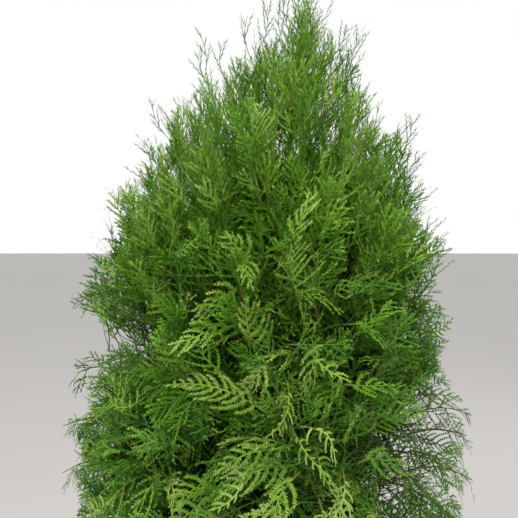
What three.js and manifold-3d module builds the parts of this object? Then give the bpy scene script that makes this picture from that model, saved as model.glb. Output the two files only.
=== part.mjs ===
// A young thuja in a round growing pot: pot, soil, leaning trunk, boughs and plumes of flat toothed sprays.
// Millimetres, +Z up, origin at the centre of the pot's flat underside, +Y away from the viewer.
import * as THREE from "three";
import { mergeVertices } from "three/addons/utils/BufferGeometryUtils.js";
import Module from "manifold-3d";

const wasm = await Module();
wasm.setup();

// Pot and soil
const potHeight = 300;
const potBaseRadius = 128;
const potChamfer = 5;
const potShoulderRadius = 155;
const potShoulderHeight = 250;
const potBandRadius = 162;
const potBandTaper = 1.5;
const potRimRadius = 170;
const potRimHeight = 12;
const potRimRound = 2;
const potWall = 3;
const potFloor = 4;
const potSides = 30;
const drainHoles = 6;
const drainRadius = 9;
const drainDepth = 40;
const drainSides = 8;
const soilTop = 274;
const soilCrownRadius = 45;
const soilEdgeDrop = 7;

// Clearance that touching solids keep
const clearance = 0.3;

// Trunk
const trunkFoot = soilTop + clearance;
const trunkTip = 1565;
const trunkLean = new THREE.Vector2(56, 8);
const trunkLeanPower = 2.5;
const trunkBaseRadius = 16;
const trunkTipRadius = 1.6;
const trunkTaperPower = 0.85;
const flareHeight = 55;
const flareRadius = 10;
const flareLobes = 5;
const flareLobeShare = 0.3;
const trunkSides = 10;
const trunkSteps = 16;
const trunkStations = 8;

// Crown outline: height above the ground and half width, out to the furthest tips
const crownOutline = [
  [335, 120],
  [400, 190],
  [540, 250],
  [700, 296],
  [800, 314],
  [880, 320],
  [1000, 300],
  [1160, 276],
  [1220, 257],
  [1280, 234],
  [1340, 204],
  [1400, 168],
  [1450, 128],
  [1490, 88],
  [1520, 58],
  [1560, 36],
  [1598, 20],
];
const crownBottom = 335;
const crownTop = 1598;
const leaderFrom = 1420;
const leaderTo = 1530;
const outlineStep = 4;
const longestReach = 330;

// Plumes: one mass of foliage each, on boughs that climb the trunk in a golden spiral
const tiers = [
  ["lower", 7],
  ["middle", 7],
  ["upper", 7],
  ["top", 3],
];
const boughCount = 21;
const goldenAngle = THREE.MathUtils.degToRad(137.508);
const turnJitter = 0.3;
const lowestReach = 440;
const highestReach = 1478;
const spacingPower = 0.95;
const lowestRise = THREE.MathUtils.degToRad(4);
const highestRise = THREE.MathUtils.degToRad(80);
const risePower = 0.7;
const reachJitter = 0.08;
const plumeRun = [130, 330];
const tipReach = 95;
const tipShare = 0.42;
const innerShare = 0.24;
const innerLeast = 36;

// The plumes round the leader: the height where they leave the trunk, and how high and wide each one reaches
const topStart = 1345;
const topReach = [
  [1596, 4],
  [1545, 34],
  [1528, 44],
];
const topTurn = 0.2;
const topStemRadius = 3;

// Boughs
const boughSides = 5;
const boughSteps = 4;
const boughRootRadius = [7, 3.8];
const boughTipShare = 0.62;
const boughRise = 1.05;
const boughTrunkShare = 0.75;
const lowestBough = 45;
const boughSpacing = 4;

// Twigs and sprays
const spraysPerPlume = 6;
const stemTipRadius = 1.8;
const twigRadius = [2.6, 1.9];
const shortestTwig = 12;
const twigPlace = [0.12, 0.95];
const twigTurn = 0.618;
const plumeTurn = 0.37;
const twigSpread = [0.85 * Math.PI, 0.6 * Math.PI];
const twigFan = [THREE.MathUtils.degToRad(60), THREE.MathUtils.degToRad(36)];
const twigLift = [-0.05, 0.4];
const sprayLength = [130, 225];
const sprayRoomShare = 0.86;
const sprayWidthShare = 0.66;
const sprayThickness = 2.4;
const sprayRoot = 2.6;
const spraySunk = 16;
const sprayDroop = [0.16, -0.02];
const sprayCup = 0.0016;
const sprayTwist = 1.5;
const sprayTeeth = 3;
const toothSpan = [0.12, 0.86];
const toothLean = 0.07;
const toothNotch = 0.42;
const leastTooth = 7;
const leastNotch = 3.2;
const triedTurns = [0, 0.22, 0.43, 0.7];
const triedTrims = [1, 0.88, 0.76, 0.64];

// Cores: a folded teardrop round each stem, at these shares of its length
const coreSides = 8;
const coreShares = [0, 0.12, 0.42, 0.75, 1, 1.22];
const coreRows = coreShares.length - 1;
const coreRadius = 50;
const coreInCrown = 0.46;
const coreInSpace = 0.96;
const coreFold = 0.26;
const coreLeast = 3;
const coreTipRun = 120;

// Space that a plume leaves to its neighbours and to the limbs
const spaceMargin = 0.6;
const limbMargin = 1.5;
const trunkRoomMargin = 0.4;
const trunkParts = 6;

// A repeatable number from 0 to 1 for item i and use k
function chance(i, k) {
  const s = Math.sin(i * 12.9898 + k * 78.233) * 43758.5453;
  return s - Math.floor(s);
}

const mix = (a, b, t) => a + (b - a) * t;

// Half width of the crown at a height, straight between the outline's stations
function crownRadius(z) {
  const last = crownOutline.length - 1;
  if (z <= crownOutline[0][0]) return crownOutline[0][1];
  if (z >= crownOutline[last][0]) return crownOutline[last][1];
  const k = crownOutline.findIndex(([height]) => height > z);
  const [z0, r0] = crownOutline[k - 1];
  const [z1, r1] = crownOutline[k];
  return mix(r0, r1, (z - z0) / (z1 - z0));
}

// Centre of the trunk at a height: it leans more towards its tip
function trunkCentre(z) {
  const t = Math.pow(Math.max(0, (z - trunkFoot) / (trunkTip - trunkFoot)), trunkLeanPower);
  return new THREE.Vector3(trunkLean.x * t, trunkLean.y * t, z);
}

// Centre of the crown at a height: upright for most of it, then swinging over to the leader
function crownCentre(z) {
  const t = THREE.MathUtils.smoothstep(z, leaderFrom, leaderTo);
  return new THREE.Vector3(trunkLean.x * t, trunkLean.y * t, z);
}

function trunkRadius(z) {
  const t = THREE.MathUtils.clamp((z - trunkFoot) / (trunkTip - trunkFoot), 0, 1);
  return mix(trunkBaseRadius, trunkTipRadius, Math.pow(t, trunkTaperPower));
}

// A closed solid from a three.js geometry; triangles whose corners have met are dropped
function solidOf(geometry) {
  const bare = geometry.clone();
  bare.deleteAttribute("normal");
  bare.deleteAttribute("uv");
  const merged = mergeVertices(bare, 1e-4);
  const corners = merged.index.array;
  const triVerts = [];
  for (let t = 0; t < corners.length; t += 3) {
    const [a, b, c] = corners.slice(t, t + 3);
    if (a !== b && b !== c && c !== a) triVerts.push(a, b, c);
  }
  const vertProperties = new Float32Array(merged.attributes.position.array);
  const mesh = new wasm.Mesh({ numProp: 3, vertProperties, triVerts: new Uint32Array(triVerts) });
  return new wasm.Manifold(mesh);
}

// A three.js geometry from a manifold solid, moved so that origin becomes its own zero
function geometryOf(solid, origin) {
  const mesh = solid.getMesh();
  const position = new Float32Array(mesh.numVert * 3);
  for (let v = 0; v < mesh.numVert; v++) {
    const at = v * mesh.numProp;
    position[v * 3] = mesh.vertProperties[at] - origin.x;
    position[v * 3 + 1] = mesh.vertProperties[at + 1] - origin.y;
    position[v * 3 + 2] = mesh.vertProperties[at + 2] - origin.z;
  }
  const geometry = new THREE.BufferGeometry();
  geometry.setAttribute("position", new THREE.BufferAttribute(position, 3));
  geometry.setIndex(new THREE.BufferAttribute(new Uint32Array(mesh.triVerts), 1));
  geometry.computeVertexNormals();
  return geometry;
}

// Moves every vertex of a geometry by a function of its old place
function reshape(geometry, place) {
  const position = geometry.getAttribute("position");
  const point = new THREE.Vector3();
  for (let v = 0; v < position.count; v++) {
    point.fromBufferAttribute(position, v);
    const moved = place(point);
    position.setXYZ(v, moved.x, moved.y, moved.z);
  }
  return geometry;
}

// A limb: a cylinder carried along a curve that bends across the side vector, with radius radiusAt(t, turn)
function limbGeometry(curve, side, radiusAt, sides, steps) {
  const straight = new THREE.CylinderGeometry(1, 1, 1, sides, steps);
  return reshape(straight, (p) => {
    const t = p.y + 0.5;
    const tangent = curve.getTangent(t);
    const up = new THREE.Vector3().crossVectors(tangent, side).normalize();
    const across = new THREE.Vector3().crossVectors(tangent, up).normalize();
    const reach = Math.hypot(p.x, p.z);
    const radius = reach > 0.5 ? radiusAt(t, Math.atan2(p.z, p.x)) / reach : 0;
    return curve
      .getPoint(t)
      .addScaledVector(across, p.x * radius)
      .addScaledVector(up, p.z * radius);
  });
}

// The closest points of segments a-b and c-d
function closestPoints(a, b, c, d) {
  const u = b.clone().sub(a);
  const v = d.clone().sub(c);
  const w = a.clone().sub(c);
  const uu = u.dot(u);
  const vv = v.dot(v);
  const uv = u.dot(v);
  const uw = u.dot(w);
  const vw = v.dot(w);
  const denominator = uu * vv - uv * uv;
  let s = denominator > 1e-9 ? THREE.MathUtils.clamp((uv * vw - vv * uw) / denominator, 0, 1) : 0;
  const t = THREE.MathUtils.clamp((uv * s + vw) / vv, 0, 1);
  s = THREE.MathUtils.clamp((uv * t - uw) / uu, 0, 1);
  return [a.clone().addScaledVector(u, s), c.clone().addScaledVector(v, t)];
}

const horizontal = (turn) => new THREE.Vector3(Math.cos(turn), Math.sin(turn), 0);
const sideOf = (out) => new THREE.Vector3(-out.y, out.x, 0);

// Where a plume grows: the bough's root on the trunk, the stem's start and end, and its direction
function planPlume(i) {
  const share = i / (boughCount - 1);
  const out = horizontal(i * goldenAngle + (chance(i, 1) - 0.5) * turnJitter);
  const rise = mix(lowestRise, highestRise, Math.pow(share, risePower));
  const direction = out.clone().multiplyScalar(Math.cos(rise));
  direction.z = Math.sin(rise);
  const reachHeight = mix(lowestReach, highestReach, 1 - Math.pow(1 - share, spacingPower));
  const reachRadius = crownRadius(reachHeight) * (1 - reachJitter * chance(i, 2));
  const innerRadius = Math.max(innerLeast, innerShare * reachRadius);
  const run = THREE.MathUtils.clamp((reachRadius - innerRadius) / Math.cos(rise), ...plumeRun);
  const tip = crownCentre(reachHeight).addScaledVector(out, reachRadius);
  const end = tip.clone().addScaledVector(direction, -Math.min(tipReach, run * tipShare));
  const start = tip.clone().addScaledVector(direction, -run);
  const beside = trunkCentre(start.z);
  const climb = Math.hypot(start.x - beside.x, start.y - beside.y) * boughRise;
  const rootHeight = Math.max(start.z - climb, trunkFoot + lowestBough + boughSpacing * i);
  const root = trunkCentre(rootHeight);
  const thickness = Math.min(mix(...boughRootRadius, share), trunkRadius(rootHeight) * boughTrunkShare);
  return { i, share, out, side: sideOf(out), direction, onTrunk: false, root, start, end, thickness };
}

// A plume at the very top: its stem leaves the trunk itself, and the three stand evenly round it
function planTopPlume([reachHeight, reachRadius], k) {
  const out = horizontal(topTurn + (k / topReach.length) * 2 * Math.PI);
  const tip = crownCentre(reachHeight).addScaledVector(out, reachRadius);
  const start = trunkCentre(topStart).addScaledVector(out, trunkRadius(topStart) * boughTrunkShare);
  const direction = tip.clone().sub(start).normalize();
  const end = tip.clone().addScaledVector(direction, -tipReach);
  const i = boughCount + k;
  const side = sideOf(out);
  return { i, share: 1, out, side, direction, onTrunk: true, start, end, thickness: topStemRadius };
}

const plumes = [...Array.from({ length: boughCount }, (_, i) => planPlume(i)), ...topReach.map(planTopPlume)];

// A bough's centre line: out of the trunk, then turning into its plume's direction
function boughCurve(plume) {
  const back = plume.start.distanceTo(plume.root) * 0.5;
  const bend = plume.start.clone().addScaledVector(plume.direction, -back);
  const reach = Math.hypot(bend.x - plume.root.x, bend.y - plume.root.y);
  if (reach < 1) bend.addScaledVector(plume.out, 1);
  return new THREE.QuadraticBezierCurve3(plume.root, bend, plume.start);
}

// A plane between segment a-b and segment c-d: at the middle, or a set distance from the second one
function planeBetween(a, b, c, d, fromSecond) {
  const [p, q] = closestPoints(a, b, c, d);
  const normal = q.clone().sub(p);
  const gap = normal.length();
  normal.divideScalar(gap);
  const limit = fromSecond === undefined ? gap / 2 - spaceMargin : gap - fromSecond;
  return { normal, constant: normal.dot(p) + limit };
}

// The space a plume keeps to: one side of a plane from every other plume, bough and length of trunk
function spaceOf(plume) {
  const planes = [];
  for (const other of plumes) {
    if (other === plume) continue;
    planes.push(planeBetween(plume.start, plume.end, other.start, other.end));
    if (other.onTrunk) continue;
    const curve = boughCurve(other);
    const middle = curve.getPoint(0.5);
    const girth = other.thickness + limbMargin;
    planes.push(planeBetween(plume.start, plume.end, middle, other.start, girth));
    planes.push(planeBetween(plume.start, plume.end, other.root, middle, girth));
  }
  const back = plume.direction.clone().negate();
  planes.push({ normal: back, constant: back.dot(plume.start) - clearance });
  if (plume.onTrunk) return planes;
  for (let k = 0; k < trunkParts; k++) {
    const low = trunkCentre(mix(trunkFoot, trunkTip, k / trunkParts));
    const high = trunkCentre(mix(trunkFoot, trunkTip, (k + 1) / trunkParts));
    planes.push(planeBetween(plume.start, plume.end, low, high, trunkRadius(low.z) + limbMargin));
  }
  return planes;
}

const isInside = (planes, p) => planes.every((q) => q.normal.dot(p) <= q.constant);

// How far one can go from an inner point along a direction before a plane stops it
function roomAlong(planes, from, direction) {
  let room = Infinity;
  for (const q of planes) {
    const closing = q.normal.dot(direction);
    if (closing > 1e-6) room = Math.min(room, (q.constant - q.normal.dot(from)) / closing);
  }
  return Math.max(room, 0);
}

// How far one can go from an inner point along a direction before leaving the crown's outline
function roomToOutline(from, direction) {
  let reached = 0;
  while (reached < longestReach) {
    const p = from.clone().addScaledVector(direction, reached + outlineStep);
    const centre = crownCentre(p.z);
    const reach = Math.hypot(p.x - centre.x, p.y - centre.y);
    if (p.z > crownTop || p.z < crownBottom || reach > crownRadius(p.z)) return reached;
    reached += outlineStep;
  }
  return reached;
}

// The core of a plume: a teardrop with folds round its stem, kept inside the plume's space
function coreGeometry(plume, planes) {
  const { start, end, side, direction } = plume;
  const up = new THREE.Vector3().crossVectors(direction, side).normalize();
  return reshape(new THREE.SphereGeometry(1, coreSides, coreRows), (p) => {
    const row = Math.round((Math.acos(THREE.MathUtils.clamp(p.y, -1, 1)) / Math.PI) * coreRows);
    const turn = Math.atan2(p.z, p.x);
    const column = Math.round((turn / (2 * Math.PI)) * coreSides) + coreSides;
    const t = coreShares[row];
    const centre = start.clone().lerp(end, Math.min(t, 1));
    centre.addScaledVector(direction, t > 1 ? (t - 1) * coreTipRun : limbMargin * (1 - t));
    if (row === 0 || row === coreRows) return centre;
    const ray = side.clone().multiplyScalar(Math.cos(turn)).addScaledVector(up, Math.sin(turn));
    const fold = (row + column) % 2 ? 1 - coreFold : 1 + coreFold;
    const bulge = coreRadius * Math.sin(Math.PI * mix(0.2, 0.9, t));
    const outline = roomToOutline(centre, ray) * coreInCrown;
    const radius = Math.min(bulge * fold, outline * fold, roomAlong(planes, centre, ray) * coreInSpace);
    return centre.addScaledVector(ray, Math.max(radius, coreLeast));
  });
}

// The outline of a spray, lying along +X: a narrow root, teeth that lean forward, and a pointed tip
function sprayOutline(length, width) {
  const halfWidth = (x) => width * 0.5 * Math.pow(Math.sin(Math.PI * Math.pow(x, 0.72)), 0.8);
  const edge = [];
  for (let k = 0; k < sprayTeeth; k++) {
    const middle = mix(...toothSpan, (k + 0.5) / sprayTeeth);
    const to = mix(...toothSpan, (k + 1) / sprayTeeth);
    edge.push([length * (to + toothLean), Math.max(halfWidth(middle + toothLean), leastTooth), true]);
    edge.push([length * to, Math.max(halfWidth(to) * toothNotch, leastNotch), false]);
  }
  const mirrored = edge.map(([x, y, sharp]) => [x, -y, sharp]);
  return [[0, -sprayRoot, false], ...mirrored, [length, 0, true], ...edge.reverse(), [0, sprayRoot, false]];
}

// A spray as a thin toothed blade, placed by its root, direction and face; it thins to nothing at each tooth
function sprayGeometry(root, direction, face, length, droop) {
  const outline = sprayOutline(length, length * sprayWidthShare);
  const shape = new THREE.Shape(outline.map(([x, y]) => new THREE.Vector2(x, y)));
  const blade = new THREE.ExtrudeGeometry(shape, { depth: sprayThickness, bevelEnabled: false, steps: 1 });
  const sharp = outline.filter((corner) => corner[2]);
  const isSharp = (p) => sharp.some(([x, y]) => Math.hypot(p.x - x, p.y - y) < 0.01);
  const across = new THREE.Vector3().crossVectors(face, direction).normalize();
  return reshape(blade, (p) => {
    const bend = droop * length * Math.pow(p.x / length, 2);
    const cup = sprayCup * p.y * p.y;
    return root
      .clone()
      .addScaledVector(direction, p.x)
      .addScaledVector(across, p.y)
      .addScaledVector(face, (isSharp(p) ? 0 : p.z - sprayThickness / 2) - cup)
      .add(new THREE.Vector3(0, 0, -bend));
  });
}

function verticesOf(geometry) {
  const position = geometry.getAttribute("position");
  const vertexAt = (_, v) => new THREE.Vector3().fromBufferAttribute(position, v);
  return Array.from({ length: position.count }, vertexAt);
}

// One spray of a plume: a twig off the stem and the toothed blade at its end, or nothing where neither fits
function sprayOf(plume, planes, k) {
  const { i, share, start, end, side, direction: ahead, out } = plume;
  const last = k === spraysPerPlume - 1;
  const place = last ? 1 : mix(...twigPlace, (k + 0.5) / (spraysPerPlume - 1));
  const from = start.clone().lerp(end, place);
  const below = new THREE.Vector3().crossVectors(side, ahead).normalize();
  const openness = mix(...twigFan, place) * mix(0.85, 1.15, chance(i, 40 + k));

  for (const aside of triedTurns) {
    const turn = mix(...twigSpread, share) * (2 * ((k * twigTurn + i * plumeTurn + aside) % 1) - 1);
    const fan = last ? aside : openness;
    const ray = side.clone().multiplyScalar(Math.sin(turn)).addScaledVector(below, Math.cos(turn));
    const direction = ahead.clone().multiplyScalar(Math.cos(fan)).addScaledVector(ray, Math.sin(fan));
    direction.z += mix(...twigLift, share);
    direction.normalize();
    const face = new THREE.Vector3(0, 0, mix(1, 0.2, share)).addScaledVector(out, mix(0.7, 1, share));
    face.applyAxisAngle(direction, (chance(i, 60 + k) - 0.5) * sprayTwist);
    face.addScaledVector(direction, -face.dot(direction)).normalize();
    const across = new THREE.Vector3().crossVectors(direction, face).normalize();
    const room = roomToOutline(from, direction);

    for (const trim of triedTrims) {
      const length = THREE.MathUtils.clamp(room * sprayRoomShare, ...sprayLength) * trim;
      const twigEnd = from.clone().addScaledVector(direction, Math.max(room - length, shortestTwig));
      const root = twigEnd.clone().addScaledVector(direction, -spraySunk);
      const blade = sprayGeometry(root, direction, face, length, mix(...sprayDroop, share));
      if (!verticesOf(blade).every((p) => isInside(planes, p) && p.z < crownTop)) continue;
      const twigLine = new THREE.LineCurve3(from, twigEnd);
      const twig = limbGeometry(twigLine, across, (t) => mix(...twigRadius, t), 3, 1);
      if (verticesOf(twig).every((p) => isInside(planes, p))) return [twig, blade];
    }
  }
  return [];
}

// A whole plume: stem, core, twigs and sprays joined into one solid, cut clear of the trunk
function plumeSolid(plume, trunkRoom) {
  const planes = spaceOf(plume);
  const from = plume.start.clone().addScaledVector(plume.direction, clearance);
  const girth = plume.thickness * boughTipShare;
  const stem = limbGeometry(
    new THREE.LineCurve3(from, plume.end),
    plume.side,
    (t) => mix(girth, stemTipRadius, t),
    3,
    1,
  );
  let solid = solidOf(stem).add(solidOf(coreGeometry(plume, planes)));
  for (let k = 0; k < spraysPerPlume; k++) {
    for (const grown of sprayOf(plume, planes, k)) solid = solid.add(solidOf(grown));
  }
  const bodies = solid.subtract(trunkRoom).decompose();
  return bodies.sort((a, b) => b.volume() - a.volume())[0];
}

// The trunk as one solid, thicker by a margin where it is the room that others leave to it
function trunkSolid(margin) {
  const stations = Array.from({ length: trunkStations + 1 }, (_, k) => k / trunkStations);
  const curve = new THREE.CatmullRomCurve3(stations.map((t) => trunkCentre(mix(trunkFoot, trunkTip, t))));
  const side = new THREE.Vector3(-trunkLean.y, trunkLean.x, 0).normalize();
  const radiusAt = (t, turn) => {
    const z = mix(trunkFoot, trunkTip, t);
    const lobes = 1 - flareLobeShare * (1 - Math.cos(flareLobes * turn));
    return trunkRadius(z) + flareRadius * Math.exp((trunkFoot - z) / flareHeight) * lobes + margin;
  };
  return solidOf(limbGeometry(curve, side, radiusAt, trunkSides, trunkSteps));
}

function boughSolid(plume, trunkRoom) {
  const radiusAt = (t) => plume.thickness * mix(1, boughTipShare, t);
  const limb = solidOf(limbGeometry(boughCurve(plume), plume.side, radiusAt, boughSides, boughSteps));
  return limb.subtract(trunkRoom).decompose().sort((a, b) => b.volume() - a.volume())[0];
}

// A solid of revolution about +Z from points of radius and height
function turned(points) {
  const profile = points.map(([r, z]) => new THREE.Vector2(r, z));
  return new THREE.LatheGeometry(profile, potSides).rotateX(Math.PI / 2);
}

function potShell() {
  const rimLow = potHeight - potRimHeight;
  return turned([
    [0, 0],
    [potBaseRadius - potChamfer, 0],
    [potBaseRadius, potChamfer],
    [potShoulderRadius, potShoulderHeight],
    [potBandRadius, potShoulderHeight + potChamfer],
    [potBandRadius + potBandTaper, rimLow],
    [potRimRadius, rimLow + potRimRound],
    [potRimRadius, potHeight - potRimRound],
    [potRimRadius - potRimRound, potHeight],
    [potBandRadius - potWall + potBandTaper, potHeight],
    [potBandRadius - potWall, potShoulderHeight + potChamfer],
    [potShoulderRadius - potWall, potShoulderHeight],
    [potBaseRadius - potWall, potFloor],
    [0, potFloor],
  ]);
}

// The pot with round drain holes through the foot of its wall
function potGeometry() {
  let pot = solidOf(potShell());
  for (let k = 0; k < drainHoles; k++) {
    const drill = new THREE.CylinderGeometry(drainRadius, drainRadius, drainDepth, drainSides);
    drill.rotateZ(Math.PI / 2).translate(potBaseRadius, 0, potFloor + drainRadius);
    drill.rotateZ(((k + 0.5) / drainHoles) * 2 * Math.PI);
    pot = pot.subtract(solidOf(drill));
  }
  return geometryOf(pot, new THREE.Vector3());
}

// The soil fills the pot up to a low mound round the trunk, just clear of the wall
function soilGeometry() {
  const gap = potWall + clearance + 0.1;
  return turned([
    [0, potFloor + clearance],
    [potBaseRadius - gap, potFloor + clearance],
    [potShoulderRadius - gap, potShoulderHeight + 1],
    [potBandRadius - gap, potShoulderHeight + potChamfer + 1],
    [potBandRadius - gap, soilTop - soilEdgeDrop],
    [soilCrownRadius, soilTop],
    [0, soilTop],
  ]);
}

const finishes = {
  pot: new THREE.MeshStandardMaterial({ color: 0x24272a, roughness: 0.55, metalness: 0 }),
  soil: new THREE.MeshStandardMaterial({ color: 0x3a2a1e, roughness: 1, metalness: 0 }),
  bark: new THREE.MeshStandardMaterial({ color: 0x7a5a44, roughness: 0.9, metalness: 0 }),
  foliage: new THREE.MeshStandardMaterial({ color: 0x4f7d22, roughness: 0.7, metalness: 0 }),
};

function namedMesh(name, geometry, finish, place = new THREE.Vector3()) {
  const mesh = new THREE.Mesh(geometry, finish);
  mesh.name = name;
  mesh.position.copy(place);
  return mesh;
}

// lower_1, lower_2 ... top_3, from the skirt up
const tierNames = tiers.flatMap(([name, count]) => {
  return Array.from({ length: count }, (_, k) => `${name}_${k + 1}`);
});

const container = new THREE.Group();
container.add(namedMesh("pot", potGeometry(), finishes.pot));
container.add(namedMesh("soil", soilGeometry(), finishes.soil));

const limbs = new THREE.Group();
const crown = new THREE.Group();
const trunkRoom = trunkSolid(trunkRoomMargin);
limbs.add(namedMesh("trunk", geometryOf(trunkSolid(0), new THREE.Vector3()), finishes.bark));

for (const plume of plumes) {
  const name = tierNames[plume.i];
  if (!plume.onTrunk) {
    const bough = geometryOf(boughSolid(plume, trunkRoom), plume.root);
    limbs.add(namedMesh(`bough_${name}`, bough, finishes.bark, plume.root));
  }
  const foliage = geometryOf(plumeSolid(plume, trunkRoom), plume.start);
  crown.add(namedMesh(`foliage_${name}`, foliage, finishes.foliage, plume.start));
}

const thuja = new THREE.Group();
thuja.add(container, limbs, crown);

export default thuja;
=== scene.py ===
import math

import bpy
import numpy as np
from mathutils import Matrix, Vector


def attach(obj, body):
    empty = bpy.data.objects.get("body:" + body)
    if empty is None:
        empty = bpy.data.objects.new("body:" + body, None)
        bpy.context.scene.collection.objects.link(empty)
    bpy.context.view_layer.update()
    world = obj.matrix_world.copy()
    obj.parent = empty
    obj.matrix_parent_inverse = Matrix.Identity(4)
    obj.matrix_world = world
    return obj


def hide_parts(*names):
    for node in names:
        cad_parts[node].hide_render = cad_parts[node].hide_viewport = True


# A young thuja in a round growing pot. Metres, +Z up, origin at the centre of the pot's underside.
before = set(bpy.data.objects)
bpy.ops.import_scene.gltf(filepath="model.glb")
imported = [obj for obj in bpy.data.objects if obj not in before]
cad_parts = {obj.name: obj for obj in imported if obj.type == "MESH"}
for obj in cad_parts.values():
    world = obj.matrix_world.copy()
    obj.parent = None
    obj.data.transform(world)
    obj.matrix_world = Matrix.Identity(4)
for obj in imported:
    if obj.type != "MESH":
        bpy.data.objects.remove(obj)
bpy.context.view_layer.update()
print("frame loaded:", len(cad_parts), "nodes")

# Camera: at eye height close in front of the crown, level but for a slight tilt down
eye = dict(place=(-0.016, -0.85, 1.20), tiltDown=2.3, lens=36.07, sensor=36.0, near=0.02, far=80.0)


# the object that holds a camera or a lamp in its place
def placeHolder(name, held, place, turn):
    holder = bpy.data.objects.new(name, held)
    holder.location = place
    holder.rotation_euler = turn
    bpy.context.scene.collection.objects.link(holder)
    return holder


def setCamera():
    lens = bpy.data.cameras.new("eye")
    lens.lens = eye["lens"]
    lens.sensor_width = eye["sensor"]
    lens.clip_start = eye["near"]
    lens.clip_end = eye["far"]
    turn = (math.radians(90 - eye["tiltDown"]), 0, 0)
    bpy.context.scene.camera = placeHolder("eye", lens, eye["place"], turn)


setCamera()


# Small helpers on whole arrays of points
def mix(a, b, t):
    return a + (b - a) * t


def unit(v):
    return v / np.linalg.norm(v, axis=-1, keepdims=True)


def dot(a, b):
    return np.sum(a * b, axis=-1, keepdims=True)


# the value at each height z, from a list of heights and values
def atHeight(steps, z):
    return np.interp(z, *np.transpose(steps))


# repeatable number from 0 to 1 for item i and use k
def chance(i, k):
    s = np.sin(i * 12.9898 + k * 78.233) * 43758.5453
    return s - np.floor(s)


# a new object at the origin from points and triangles, smooth up to the crease angle if one is given
def makePiece(name, points, triangles, materials, smooth=False, crease=None):
    mesh = bpy.data.meshes.new(name)
    corners = np.ascontiguousarray(triangles, dtype=np.int32).ravel()
    mesh.vertices.add(len(points))
    mesh.vertices.foreach_set("co", np.ascontiguousarray(points, dtype=np.float32).ravel())
    mesh.loops.add(len(corners))
    mesh.loops.foreach_set("vertex_index", corners)
    mesh.polygons.add(len(triangles))
    mesh.polygons.foreach_set("loop_start", np.arange(0, len(corners), 3, dtype=np.int32))
    for material in materials:
        mesh.materials.append(material)
    mesh.polygons.foreach_set("use_smooth", np.full(len(triangles), smooth))
    mesh.update(calc_edges=True)
    mesh.validate()
    if crease:
        mesh.set_sharp_from_angle(angle=math.radians(crease))
    piece = bpy.data.objects.new(name, mesh)
    bpy.context.scene.collection.objects.link(piece)
    return piece


# what every piece of the plant says about itself
def declare(piece, nodes):
    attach(piece, "root")
    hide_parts(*nodes)


# triangles of a grid of rows by columns; closed joins the last column to the first
def gridTriangles(rows, columns, closed):
    r, c = np.meshgrid(np.arange(rows - 1), np.arange(columns if closed else columns - 1), indexing="ij")
    a = r * columns + c
    b = r * columns + (c + 1) % columns
    quads = np.stack([a, b, b + columns, a + columns], -1).reshape(-1, 4)
    return np.concatenate([quads[:, [0, 1, 2]], quads[:, [0, 2, 3]]])


# triangles of a closed tube: its rings of points, then one pole at its foot and one at its head
def tubeTriangles(rings, sides):
    c = np.arange(sides)
    following = (c + 1) % sides
    foot = np.stack([following, c, np.full(sides, rings * sides)], -1)
    head = np.stack([c, following, np.full(sides, rings * sides + 1)], -1)
    head[:, :2] += (rings - 1) * sides
    return np.concatenate([gridTriangles(rings, sides, True), foot, head])


# copies of one shape, from points (copy, point, 3) and the triangles that each copy has
def copies(points, triangles):
    offset = np.arange(len(points))[:, None, None] * points.shape[1]
    return points.reshape(-1, 3), (triangles[None] + offset).reshape(-1, 3)


# several pairs of points and triangles as one pair
def joined(parts):
    offsets = np.cumsum([0] + [len(points) for points, _ in parts[:-1]])
    triangles = [faces + offset for (_, faces), offset in zip(parts, offsets)]
    return np.concatenate([points for points, _ in parts]), np.concatenate(triangles)


# closed surface of turning: a profile of radius and height carried round +Z, with a pole at each end
def turnedShape(profile, columns, relief):
    turn = np.arange(columns) / columns * 2 * np.pi
    r, z = (np.repeat(profile[1:-1, axis, None], columns, 1) for axis in range(2))
    r, z = relief(r, z, turn)
    ring = np.stack([r * np.cos(turn), r * np.sin(turn), z], -1).reshape(-1, 3)
    points = np.concatenate([ring, [[0, 0, profile[0, 1]], [0, 0, profile[-1, 1]]]])
    return points, tubeTriangles(len(profile) - 2, columns)


# many tubes at once, from centres (tube, station, 3) and radii (tube, station, side)
def tubes(centres, radii, side):
    count, stations, sides = radii.shape
    tangent = unit(np.gradient(centres, axis=1))
    up = unit(np.cross(tangent, side[:, None, :]))
    across = np.cross(up, tangent)
    turn = np.arange(sides) / sides * 2 * np.pi
    ray = across[:, :, None] * np.cos(turn)[:, None] + up[:, :, None] * np.sin(turn)[:, None]
    skin = centres[:, :, None] + ray * radii[..., None]
    points = np.concatenate([skin.reshape(count, -1, 3), centres[:, :1], centres[:, -1:]], 1)
    return copies(points, tubeTriangles(stations, sides))


# points at shares t along quadratic curves from a past b to c; arrays (curve, 3) and (share,)
def bezier(a, b, c, t):
    t = t[:, None]
    return a[:, None] * (1 - t) ** 2 + b[:, None] * 2 * t * (1 - t) + c[:, None] * t ** 2


# Shader maths: a socket that answers to + and * by adding Math nodes
class Value:
    def __init__(self, material, socket):
        self.material = material
        self.socket = socket

    def combine(self, operation, first, second):
        return self.material.node("ShaderNodeMath", {"operation": operation}, {0: first, 1: second})

    def __add__(self, other):
        return self.combine("ADD", self, other)

    def __radd__(self, other):
        return self.combine("ADD", other, self)

    def __mul__(self, other):
        return self.combine("MULTIPLY", self, other)


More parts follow.
